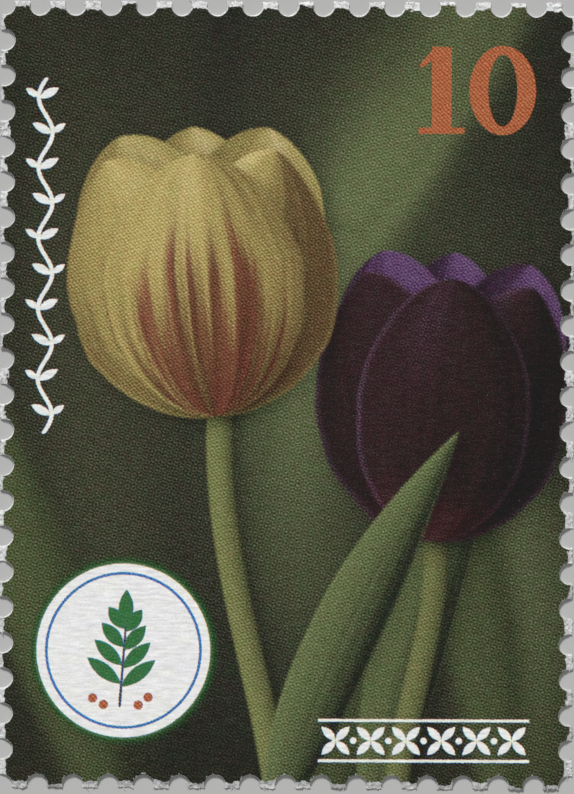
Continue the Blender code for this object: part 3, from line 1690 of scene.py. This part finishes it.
def stacked_wall(name: str, rings: list[Array]) -> bpy.types.Object:
    """Model a closed wall through rings of points, by extruding a circle upwards.

    Args:
        name: the object's name.
        rings: the rings from the lowest to the highest, all of one length.

    Returns:
        The wall, with its rings' points in order.
    """
    pick(None)
    count = len(rings[0])
    bpy.ops.mesh.primitive_circle_add(vertices=count, radius=rings[0][:, 0].max() * MM)
    wall = bpy.context.object
    wall.name = wall.data.name = name
    set_places(wall.data, 0, rings[0])
    for number, ring in enumerate(rings[1:], 1):
        highest = np.arange(number * count) >= (number - 1) * count
        with editing("DESELECT"):
            bpy.ops.object.mode_set(mode="OBJECT")
            wall.data.vertices.foreach_set("select", highest)
            bpy.ops.object.mode_set(mode="EDIT")
            bpy.ops.mesh.extrude_edges_move()
        set_places(wall.data, number * count, ring)
    return wall


def filled(ring: Array, inner: Array, heights: Heights) -> bpy.types.Object:
    """Cover the inside of a ring with triangles through chosen points.

    Args:
        ring: the outline, with its heights.
        inner: the points inside it.
        heights: gives the heights of the points inside.

    Returns:
        The cover.
    """
    count = len(ring)
    edges = [(start, (start + 1) % count) for start in range(count)]
    points = [Vector(point) for point in np.concatenate((ring[:, :2], inner))]
    found, _, faces, *_ = delaunay_2d_cdt(points, edges, [], 1, 1e-7)
    flat = np.array([tuple(point) for point in found])
    places = np.column_stack((flat, heights(*flat.T)))
    places[:count] = ring
    return new_object("cover", places, faces)


def finish_faces(item: bpy.types.Object, degrees: float) -> None:
    """Turn an object's faces outwards, and smooth its flat edges.

    Args:
        item: the object.
        degrees: the angle from which an edge stays sharp.
    """
    pick(item)
    with editing("SELECT"):
        bpy.ops.mesh.normals_make_consistent(inside=False)
    bpy.ops.object.shade_smooth_by_angle(angle=math.radians(degrees))


def closed_sheet(
    name: str, rings: list[Array], over: tuple[Array, Heights], under: tuple[Array, Heights]
) -> bpy.types.Object:
    """Model a sheet with a wall round it, closed above and below.

    Args:
        name: the object's name.
        rings: the wall's outlines from the lowest to the highest, with their heights.
        over: the points inside the highest one, and what gives their heights.
        under: the same for the lowest one.

    Returns:
        The sheet.
    """
    parts = [stacked_wall(name, rings), filled(rings[-1], *over), filled(rings[0], *under)]
    pick(parts[0])
    for part in parts:
        part.select_set(True)
    bpy.ops.object.join()
    with editing("SELECT"):
        bpy.ops.mesh.remove_doubles(threshold=1e-4 * MM)
    finish_faces(parts[0], 35)
    return parts[0]


def level_at(height: float) -> Heights:
    """Give a function that gives every point one height."""
    return lambda x, y: np.full(x.shape, height)


def hex_grid(sheet: Perforation, margin: float, step: float) -> Array:
    """Spread points evenly over the stamp.

    Args:
        sheet: the stamp's outline.
        margin: how far the points reach past the lines of hole centres.
        step: the distance between points.

    Returns:
        The points.
    """
    width, height = sheet.half_width + margin, sheet.half_height + margin
    rows = np.arange(-height, height, step * math.sqrt(0.75))
    run = np.arange(-width, width, step)
    points = []
    for row, y in enumerate(rows):
        points.append(np.column_stack((run + step / 2 * (row % 2), np.full(len(run), y))))
    return np.concatenate(points)


def store(mesh: bpy.types.Mesh, name: str, values: Array) -> None:
    """Store an attribute on a mesh.

    Args:
        mesh: the mesh.
        name: the attribute's name.
        values: one number a point, or three, which are stored as a colour.
    """
    kind, part = ("FLOAT", "value") if values.ndim == 1 else ("FLOAT_COLOR", "color")
    if values.ndim > 1:
        values = np.column_stack((values, np.ones(len(values))))
    layer = mesh.attributes.new(name, kind, "POINT")
    layer.data.foreach_set(part, values.astype(np.float32).ravel())


# The pieces


@dataclass(frozen=True)
class PaperFinish:
    """Coated stamp paper: a printed face with a soft gloss, and bare fibre where it is torn."""

    press: Press
    cream: Colour = tuple(srgb(232, 232, 229))
    lilac: Colour = tuple(srgb(233, 232, 234))
    pick_colour: Colour = tuple(PAPER_WHITE * 0.8)
    dark_fibre: Colour = (0.36, 0.36, 0.35)
    light_fibre: Colour = (0.72, 0.73, 0.73)
    dirt_and_shade_colour: Colour = (0.20, 0.22, 0.19)
    veil: float = 0.010
    print_roughness: float = 0.48
    fibre_roughness: float = 0.90
    gloss: float = 0.25
    grain_size: float = 0.09
    grain_depth: float = 0.0011
    fibre_size: float = 0.026
    fibre_depth: float = 0.007

    def bare(self, graph: Graph, colour: Wire, ink: Wire, fibres: Wire, speck: Wire) -> Wire:
        """Build the shader of torn paper, which keeps some ink and dirt, with painted shade towards the
        bottom and right.

        Args:
            graph: the material's graph.
            colour: the printed colour.
            ink: how deep in the print a place is.
            fibres: the fibres' height.
            speck: noise the size of a tuft.

        Returns:
            The colour.
        """
        # Ink stain with painted shade, darkest on the bottom and right tips.
        dirt_and_shade = graph.attribute("tear_stain_and_shade", "Fac")
        patches = graph.noise(0.13)
        tone = (fibres * 0.35 + patches * 0.65).eased(0.36, 0.56)
        bare = graph.mixed(self.dark_fibre, self.light_fibre, tone)
        stain = (speck * 0.4 + patches * 0.6 + ink * 0.5 + dirt_and_shade * 0.16).eased(0.45, 0.62)
        shade = graph.mixed(colour, self.dirt_and_shade_colour, 0.5)
        bare = graph.mixed(bare, shade, (stain * (dirt_and_shade * 0.65 + 0.25)).clamped())
        # Darken the whole tip by the stain and its painted shade.
        return graph.mixed(bare, shade, dirt_and_shade * 0.28)

    def material(self) -> bpy.types.Material:
        """Build the material.

        Returns:
            The material.
        """
        graph = Graph("printed_stamp_paper")
        mottle = graph.noise(0.5, 3.0, (2.0, 1.0, 1.0))
        white = graph.mixed(self.cream, self.lilac, mottle.eased(0.35, 0.65))
        colour = graph.shifted(self.press.printed(graph, white), -self.veil)
        picks = graph.noise(0.10, 1.0).eased(0.775, 0.80)
        colour = graph.mixed(colour, self.pick_colour, picks * 0.12)
        strands = graph.noise(self.fibre_size, 3.0, (3.0, 1.0, 1.0))
        fibres = (strands + graph.noise(self.fibre_size, 3.0, (1.0, 3.0, 1.0))) * 0.5
        speck = graph.noise(0.055)
        ink = graph.attribute("ink_depth", "Fac")
        inked = (ink + speck.around(0.08)).eased(-0.018, 0.022)
        grain = graph.noise(self.grain_size, 3.0) * (self.grain_depth / self.fibre_depth)
        torn = 1.0 - inked
        return graph.surface(
            Base_Color=graph.mixed(self.bare(graph, colour, ink, fibres, speck), colour, inked),
            Roughness=torn * (self.fibre_roughness - self.print_roughness)
            + mottle.around(0.08) + self.print_roughness,
            Specular_IOR_Level=self.gloss,
            Normal=graph.bump(grain + (fibres - grain) * torn, self.fibre_depth),
        )


@dataclass(frozen=True)
class GumFinish:
    """Dried gum: thin, even, a little yellow and glossier than the paper."""

    thick: Colour = (0.745, 0.725, 0.640)
    thin: Colour = (0.790, 0.785, 0.735)
    roughness: float = 0.30
    ripple_depth: float = 0.004

    def material(self) -> bpy.types.Material:
        """Build the material.

        Returns:
            The material.
        """
        graph = Graph("dried_gum")
        flow, fine = graph.noise(2.2, 3.0, (1.0, 2.5, 1.0)), graph.noise(0.12, 3.0)
        return graph.surface(
            Base_Color=graph.mixed(self.thick, self.thin, flow.eased(0.35, 0.65)),
            Roughness=fine * 0.12 + self.roughness,
            Normal=graph.bump(flow * 0.7 + fine * 0.3, self.ripple_depth),
        )


@dataclass(frozen=True)
class FibreFinish:
    """Bare paper fibre: white, matt, a little uneven, and stained where the tear is, with painted shade
    towards the bottom and right.
    """

    dark: Colour = (0.50, 0.50, 0.49)
    light: Colour = (0.78, 0.79, 0.79)
    stained_and_shaded: Colour = (0.22, 0.23, 0.20)
    roughness: float = 0.9

    def material(self) -> bpy.types.Material:
        """Build the material.

        Returns:
            The material.
        """
        graph = Graph("paper_fibre")
        colour = graph.mixed(self.dark, self.light, graph.noise(0.08).eased(0.3, 0.6))
        # Stain and painted shade, darkest at the bottom and right.
        colour = graph.mixed(colour, self.stained_and_shaded, graph.attribute("tear_stain_and_shade", "Fac") * 0.75)
        relief = graph.bump(graph.noise(0.012), 0.002)
        return graph.surface(Base_Color=colour, Roughness=self.roughness, Normal=relief)


@dataclass
class PaperSheet:
    """The printed sheet: a finely meshed face inside a punched and torn edge."""

    perforation: Perforation
    layout: Layout
    finish: PaperFinish
    bottom: float = SHEET_BACK
    top: float = SHEET_FACE
    picture_step: float = 0.16
    contour_step: float = 0.08
    tooth_step: float = 0.050
    ornament_step: float = 0.05
    tooth_zone: float = 0.40
    busy_from: float = 0.22
    roll_depth: float = 0.006
    wave_height: float = 0.0015
    glow_width: float = 0.42

    def __post_init__(self) -> None:
        """Work the printed picture out, with the dark green glow round the panel."""
        sheet = self.perforation
        self.ornaments = self.layout.ornaments()
        self.plate = GardenPicture(2 * sheet.half_width, 2 * sheet.half_height).plate
        away = -self.layout.panel.depth(self.plate.x, self.plate.y)
        self.plate.lay(0.92 * smooth(self.glow_width, 0.06, away), srgb(40, 78, 42))
        self.plate.lay(0.7 * smooth(0.14, 0.02, away), srgb(92, 128, 82))

    def levels(self) -> list[Level]:
        """Give the cut edge's levels, from the back of the sheet to its face.

        Returns:
            The levels.
        """
        return [
            Level(self.bottom, 0.0, 0.0, 0.6, -0.06),
            Level(self.bottom + 0.045, 0.0, 0.0, 0.0, -0.06),
            Level(self.top - 0.024, 0.002, 0.003, -0.7, -0.04),
            Level(self.top - 0.006, 0.008, 0.008, -0.9, -0.010),
            Level(self.top, 0.022, 0.022, -1.0, 0.015),
        ]

    def lifted(self, level: Level) -> Array:
        """Give the outline at a level its height, which is less where the sheet is torn.

        Args:
            level: the level.

        Returns:
            The outline's points.
        """
        ring = self.perforation.ring(level)
        part = (level.height - self.bottom) / (self.top - self.bottom)
        return np.column_stack((ring, level.height - part * self.perforation.torn_loss(*ring.T)))

    def face_inset(self, x: Array, y: Array) -> Array:
        """Give how far points lie inside the edge of the face, which is dragged."""
        return self.perforation.inset(x + self.perforation.drag[0], y + self.perforation.drag[1])

    def relief(self, x: Array, y: Array) -> Array:
        """Work out the face's height: rolled over at holes, thinned at torn tips.

        Args:
            x: the points' places to the right.
            y: their places upwards.

        Returns:
            The heights.
        """
        inset = self.face_inset(x, y)
        rolled = self.roll_depth * np.exp(-np.maximum(inset - 0.022, 0) / 0.06)
        waves = self.wave_height * Noise(68).layered(x / 5 + 9, y / 5)
        return self.top - self.perforation.torn_loss(x, y) + (waves - rolled) * (inset > 0.05)

    def ornament_depths(self, x: Array, y: Array) -> Array:
        """Give points' depths in each colour of the ornament."""
        return np.stack([ornament.depth(x, y) for ornament in self.ornaments])

    def edge_distance(self, x: Array, y: Array) -> Array:
        """Give how far points lie from an edge of the crisp ornament or the panel."""
        deepest, rim = self.ornament_depths(x, y).max(0), self.layout.panel.depth(x, y)
        return np.minimum(np.abs(deepest), np.abs(rim))

    def busy(self, x: Array, y: Array) -> Array:
        """Tell where the picture's brightness changes fast.

        Args:
            x: the points' places to the right.
            y: their places upwards.

        Returns:
            Whether each point lies at such a place.
        """
        tone = Plate(self.plate.x, self.plate.y, np.log(0.02 + self.plate.colour))
        step = self.contour_step
        across = tone.read(x + step, y) - tone.read(x - step, y)
        up = tone.read(x, y + step) - tone.read(x, y - step)
        return np.hypot(across, up).max(-1) > self.busy_from

    def face_points(self) -> Array:
        """Choose the face's points: closest at crisp edges, at contours and in the teeth.

        Returns:
            The points.
        """
        steps = (self.picture_step, self.contour_step, self.tooth_step, self.ornament_step)
        broad, contour, teeth, fine = (hex_grid(self.perforation, 0.2, step) for step in steps)

        def within(points: Array) -> Array:
            """Give how far points lie inside the zone of the teeth."""
            return self.perforation.outside_holes(*points.T) + self.tooth_zone

        zone = 1.9 * self.ornament_step
        clear = (self.edge_distance(*broad.T) > zone + 0.04) & (within(broad) < -0.05)
        broad = broad[clear & ~self.busy(*broad.T)]
        clear = (self.edge_distance(*contour.T) > zone + 0.02) & (within(contour) < -0.03)
        contour = contour[clear & self.busy(*contour.T)]
        fine = fine[(self.edge_distance(*fine.T) < zone) & (within(fine) < -0.03)]
        shapes = [shape for ornament in self.ornaments for shape in ornament.shapes]
        spines = np.concatenate([shape.spine(self.ornament_step) for shape in shapes])
        for start in range(0, len(spines), 400):
            gap = np.abs(fine[:, None, :] - spines[None, start : start + 400, :]).max(2).min(1)
            fine = fine[gap > self.ornament_step * 0.45]
        points = np.concatenate((broad, contour, teeth[within(teeth) > 0], fine, spines))
        return points[self.face_inset(*points.T) > 0.072]

    def print_on(self, mesh: bpy.types.Mesh) -> None:
        """Store the colours and dots of the print on a mesh, and where the ink has gone.

        Args:
            mesh: the sheet's mesh.
        """
        press, panel = self.finish.press, self.layout.panel
        x, y, z = get_places(mesh).T
        picture = self.plate.read(x, y)
        depths = self.ornament_depths(x, y)
        flat, nearest = np.stack([ornament.colour for ornament in self.ornaments]), depths.argmax(0)
        store(mesh, "picture_colour", picture)
        store(mesh, "picture_screens", press.screens(picture))
        store(mesh, "ornament_colour", flat[nearest])
        store(mesh, "ornament_screens", press.screens(flat)[nearest])
        ornament_limit, panel_limit = depths.max(0) + press.trap, panel.depth(x, y) + press.trap
        ornament_depth, panel_depth = [], []
        for ink in (CYAN, MAGENTA, YELLOW_INK):
            place = x + ink.shift[0], y + ink.shift[1]
            ornament_depth.append(np.minimum(self.ornament_depths(*place).max(0), ornament_limit))
            panel_depth.append(np.minimum(panel.depth(*place), panel_limit))
        store(mesh, "ornament_depth", np.stack(ornament_depth, -1))
        store(mesh, "panel_depth", np.stack(panel_depth, -1))
        store(mesh, "ink_depth", self.ink_depth(x, y, z))
        store(mesh, "tear_stain_and_shade", self.perforation.tear_stain_and_shade(x, y))

    def ink_depth(self, x: Array, y: Array, z: Array) -> Array:
        """Work out how far inside the print points lie.

        Args:
            x: the points' places to the right.
            y: their places upwards.
            z: their heights.

        Returns:
            The distances, negative on bare paper and down the cut edge.
        """
        levels = self.levels()
        whole = z + self.perforation.torn_loss(x, y) * (z - self.bottom) / (self.top - self.bottom)
        wall = np.interp(whole, [level.height for level in levels], [level.ink for level in levels])
        depth = np.minimum(self.perforation.peel(x, y), 0.3)
        return np.where(self.perforation.inset(x, y) < 0.050, np.minimum(depth, wall), depth)

    def lay_out_map(self, mesh: bpy.types.Mesh) -> None:
        """Give the face nearly all of the baked picture, and the cut edge and back a strip.

        Args:
            mesh: the sheet's mesh.
        """
        corner = np.empty(len(mesh.loops), np.int32)
        mesh.loops.foreach_get("vertex_index", corner)
        count = [polygon.loop_total for polygon in mesh.polygons]
        up = np.repeat([polygon.normal.z for polygon in mesh.polygons], count)[:, None]
        x, y, z = get_places(mesh)[corner].T
        across = 0.5 + x / (2 * self.perforation.half_width + 0.5)
        along = 0.5 + y / (2 * self.perforation.half_height + 0.5)
        shown = np.column_stack((across, 0.07 + 0.93 * along))
        hidden = np.column_stack((across * 0.3, along * 0.06))
        edge = np.column_stack((0.32 + 0.68 * across, 0.062 * np.mod(along * 8 + z * 3, 1.0)))
        places = np.where(up > 0.3, shown, np.where(up < -0.9, hidden, edge))
        mesh.uv_layers.new(name="OFBake").uv.foreach_set("vector", places.astype(np.float32).ravel())

    def mesh(self) -> bpy.types.Object:
        """Model the face, the cut edge and the back as one closed sheet.

        Returns:
            The sheet.
        """
        rings = [self.lifted(level) for level in self.levels()]
        under = (hex_grid(self.perforation, -0.6, 1.2), level_at(self.bottom))
        return closed_sheet("paper_sheet", rings, (self.face_points(), self.relief), under)

    def dress(self, item: bpy.types.Object) -> None:
        """Print the sheet and give it its finish.

        Args:
            item: the sheet.
        """
        self.print_on(item.data)
        self.lay_out_map(item.data)
        item.data.materials.clear()
        item.data.materials.append(self.finish.material())

    def build(self) -> bpy.types.Object:
        """Make the sheet and put it in the place of the plain paper.

        Returns:
            The piece.
        """
        item = self.mesh()
        self.dress(item)
        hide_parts("paper")
        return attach(item, "root")


@dataclass(frozen=True)
class Fibre:
    """One loose fibre, laid on the sheet along a curve."""

    root: Array
    heading: float
    curl: float
    length: float
    width: float
    lift: float

    def laid(self, unit: Array, surface: Heights) -> Array:
        """Bend a fibre of unit length and width, and lay it in its place.

        Args:
            unit: the unit fibre's points.
            surface: gives the heights of the sheet's face.

        Returns:
            The points.
        """
        side, rise, share = unit.T
        turn, middle = self.heading + self.curl * share, self.heading + self.curl * share / 2
        x = self.root[0] + self.length * share * np.cos(middle) - self.width * side * np.sin(turn)
        y = self.root[1] + self.length * share * np.sin(middle) + self.width * side * np.cos(turn)
        z = surface(x, y) + 0.002 + self.lift * share + 0.45 * self.width * rise
        return np.column_stack((x, y, np.clip(z, 0.004, SHEET_FACE + 0.006)))


@dataclass
class TornFibres:
    """Loose paper fibres: short ones on every torn tip, and a few long ones across holes."""

    perforation: Perforation
    surface: Heights
    finish: FibreFinish = field(default_factory=FibreFinish)
    per_tooth: int = 13
    loose_depth: float = -0.02
    long_fibres: int = 9
    seed: int = 29
    sides: int = 5
    segments: int = 5
    taper: float = 0.35

    def strand(self) -> tuple[Array, list[tuple[int, ...]]]:
        """Model one fibre, of unit length and width, by extruding a disc and tapering it.

        Returns:
            Its points and faces.
        """
        pick(None)
        bpy.ops.mesh.primitive_circle_add(vertices=self.sides, radius=0.5 * MM, fill_type="NGON")
        item = bpy.context.object
        rise = {"value": (0.0, 0.0, MM / self.segments)}
        with editing("SELECT"):
            for _ in range(self.segments):
                bpy.ops.mesh.extrude_region_move(TRANSFORM_OT_translate=rise)
            bpy.ops.transform.resize(value=(self.taper, self.taper, 1.0))
        places = get_places(item.data)
        faces = [tuple(polygon.vertices) for polygon in item.data.polygons]
        bpy.data.objects.remove(item)
        return places, faces

    def strewn(self) -> list[Fibre]:
        """Draw the fibres, and keep those that lie on bare paper.

        Returns:
            The fibres.
        """
        draw = np.random.default_rng(self.seed)
        holes, middle = self.perforation.holes(), self.perforation.pitch / 2
        across = set(draw.choice(len(holes), self.long_fibres, replace=False).tolist())
        found = []
        for index, (centre, _, leaving) in enumerate(holes):
            along, outward = quarter_turn(leaving), quarter_turn(leaving - 1)
            facing = (leaving - 1) * math.pi / 2
            for _ in range(self.per_tooth):
                run = middle + draw.uniform(-0.24, 0.24)
                fibre = Fibre(
                    root=centre + along * run + outward * draw.uniform(-0.17, 0.03),
                    heading=facing + math.radians(draw.normal(0, 45)),
                    curl=draw.uniform(-1.3, 1.3),
                    length=draw.uniform(0.10, 0.30),
                    width=draw.uniform(0.018, 0.034),
                    lift=draw.uniform(-0.05, 0.005),
                )
                if self.perforation.peel(*fibre.root[:, None])[0] < self.loose_depth:
                    found.append(fibre)
            if index in across:
                fibre = Fibre(
                    root=centre + along * (middle - 0.20) + outward * draw.uniform(-0.15, 0.05),
                    heading=facing + math.radians(draw.uniform(50, 105)),
                    length=draw.uniform(0.45, 0.80),
                    curl=draw.uniform(-1.4, 1.4),
                    width=0.020,
                    lift=-0.06,
                )
                found.append(fibre)
        return found

    def mesh(self) -> bpy.types.Object:
        """Copy the unit fibre to every place.

        Returns:
            The fibres as one object.
        """
        unit, unit_faces = self.strand()
        places = [fibre.laid(unit, self.surface) for fibre in self.strewn()]
        faces = [
            tuple(corner + copy * len(unit) for corner in face)
            for copy in range(len(places))
            for face in unit_faces
        ]
        return new_object("torn_fibres", np.concatenate(places), faces)

    def dress(self, item: bpy.types.Object) -> None:
        """Turn the faces outwards and give the fibres their finish.

        Args:
            item: the fibres.
        """
        x, y, _ = get_places(item.data).T
        store(item.data, "tear_stain_and_shade", self.perforation.tear_stain_and_shade(x, y))
        item.data.materials.append(self.finish.material())
        finish_faces(item, 60)

    def build(self) -> bpy.types.Object:
        """Make the fibres as one piece.

        Returns:
            The piece.
        """
        item = self.mesh()
        self.dress(item)
        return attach(item, "root")


@dataclass
class GumLayer:
    """The dried gum on the back, with the sheet's outline."""

    perforation: Perforation
    finish: GumFinish = field(default_factory=GumFinish)
    thickness: float = SHEET_BACK
    drag: float = 0.6

    def mesh(self) -> bpy.types.Object:
        """Model the layer as one closed sheet.

        Returns:
            The layer.
        """
        rings = []
        for level in (
            Level(0.0, 0.010, 0.012, self.drag),
            Level(0.005, 0.002, 0.003, self.drag),
            Level(self.thickness, 0.0, 0.0, self.drag),
        ):
            ring = self.perforation.ring(level)
            rings.append(np.column_stack((ring, np.full(len(ring), level.height))))
        spread = hex_grid(self.perforation, -0.6, 0.9)
        over, under = (spread, level_at(self.thickness)), (spread, level_at(0.0))
        return closed_sheet("gum_layer", rings, over, under)

    def dress(self, item: bpy.types.Object) -> None:
        """Give the layer its finish."""
        item.data.materials.clear()
        item.data.materials.append(self.finish.material())

    def build(self) -> bpy.types.Object:
        """Make the layer and put it in the place of the plain gum.

        Returns:
            The piece.
        """
        item = self.mesh()
        self.dress(item)
        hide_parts("gum")
        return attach(item, "root")


@dataclass
class Studio:
    """A pale floor, soft lights and a long lens straight above the face."""

    photo_width: int = 574
    photo_height: int = 794
    pixels_per_mm: float = 23.484
    stamp_centre_px: Point = (286.52, 395.07)
    turned: float = 0.239
    lens_mm: float = 300.0
    sensor_mm: float = 36.0
    face_height: float = SHEET_FACE
    floor_colour: Colour = (0.46, 0.46, 0.455)
    floor_gap: float = 0.002
    world_strength: float = 0.23

    def build(self) -> None:
        """Add the floor, the lights and the camera."""
        self.add_floor()
        self.add_light("key", (-0.13, 0.50, 0.36), 14.5, 3.48)
        self.add_light("fill", (0.45, -0.16, 0.50), 36.0, 0.49)
        self.add_world()
        self.add_camera()
        bpy.context.scene.view_settings.view_transform = "Standard"

    def add_floor(self) -> None:
        """Lay a pale matt floor just under the gum."""
        pick(None)
        bpy.ops.mesh.primitive_plane_add(size=1.6, location=(0.0, 0.0, -self.floor_gap * MM))
        floor = bpy.context.object
        floor.name = "floor"
        graph = Graph("pale_floor")
        low = tuple(0.97 * part for part in self.floor_colour)
        colour = graph.mixed(low, self.floor_colour, graph.noise(120.0))
        floor.data.materials.append(graph.surface(Base_Color=colour, Roughness=0.9))

    def add_light(self, name: str, place: Colour, spread: float, power: float) -> None:
        """Add an even light from one side.

        Args:
            name: the light's name.
            place: where it comes from, seen from the stamp.
            spread: how wide it looks from the stamp, in degrees, which softens its shadows.
            power: how strong it is.
        """
        pick(None)
        bpy.ops.object.light_add(type="SUN", location=place)
        lamp = bpy.context.object
        lamp.name = name
        lamp.data.angle = math.radians(spread)
        lamp.data.energy = power
        lamp.rotation_euler = Vector(place).to_track_quat("Z", "Y").to_euler()

    def add_world(self) -> None:
        """Add an even, pale light from all round."""
        world = bpy.data.worlds.new("studio")
        world.use_nodes = True
        background = world.node_tree.nodes["Background"]
        background.inputs["Color"].default_value = (1.0, 1.0, 1.0, 1.0)
        background.inputs["Strength"].default_value = self.world_strength
        bpy.context.scene.world = world

    def add_camera(self) -> None:
        """Put the camera above the face, so that a millimetre covers the photograph's pixels."""
        pick(None)
        distance = self.lens_mm * (self.photo_height / self.pixels_per_mm) / self.sensor_mm
        x = (self.photo_width / 2 - self.stamp_centre_px[0]) / self.pixels_per_mm
        y = (self.stamp_centre_px[1] - self.photo_height / 2) / self.pixels_per_mm
        roll = math.radians(self.turned)
        right = x * math.cos(roll) - y * math.sin(roll)
        up = x * math.sin(roll) + y * math.cos(roll)
        place = Vector((right, up, self.face_height + distance)) * MM
        bpy.ops.object.camera_add(location=place, rotation=(0.0, 0.0, roll))
        camera = bpy.context.object
        camera.data.lens = self.lens_mm
        camera.data.sensor_width = self.sensor_mm
        camera.data.clip_start = 0.01
        bpy.context.scene.camera = camera


def main() -> None:
    """Build the stamp's pieces and the studio, and log each piece's triangle count."""
    logging.basicConfig(level=logging.INFO, format="%(name)s: %(message)s")
    perforation = Perforation()
    sheet = PaperSheet(perforation, Layout(), PaperFinish(Press()))
    for part in (sheet, TornFibres(perforation, sheet.relief), GumLayer(perforation)):
        piece = part.build()
        triangles = sum(polygon.loop_total - 2 for polygon in piece.data.polygons)
        LOG.info("%s: %d triangles", piece.name, triangles)
    Studio().build()


if __name__ == "__main__":
    main()
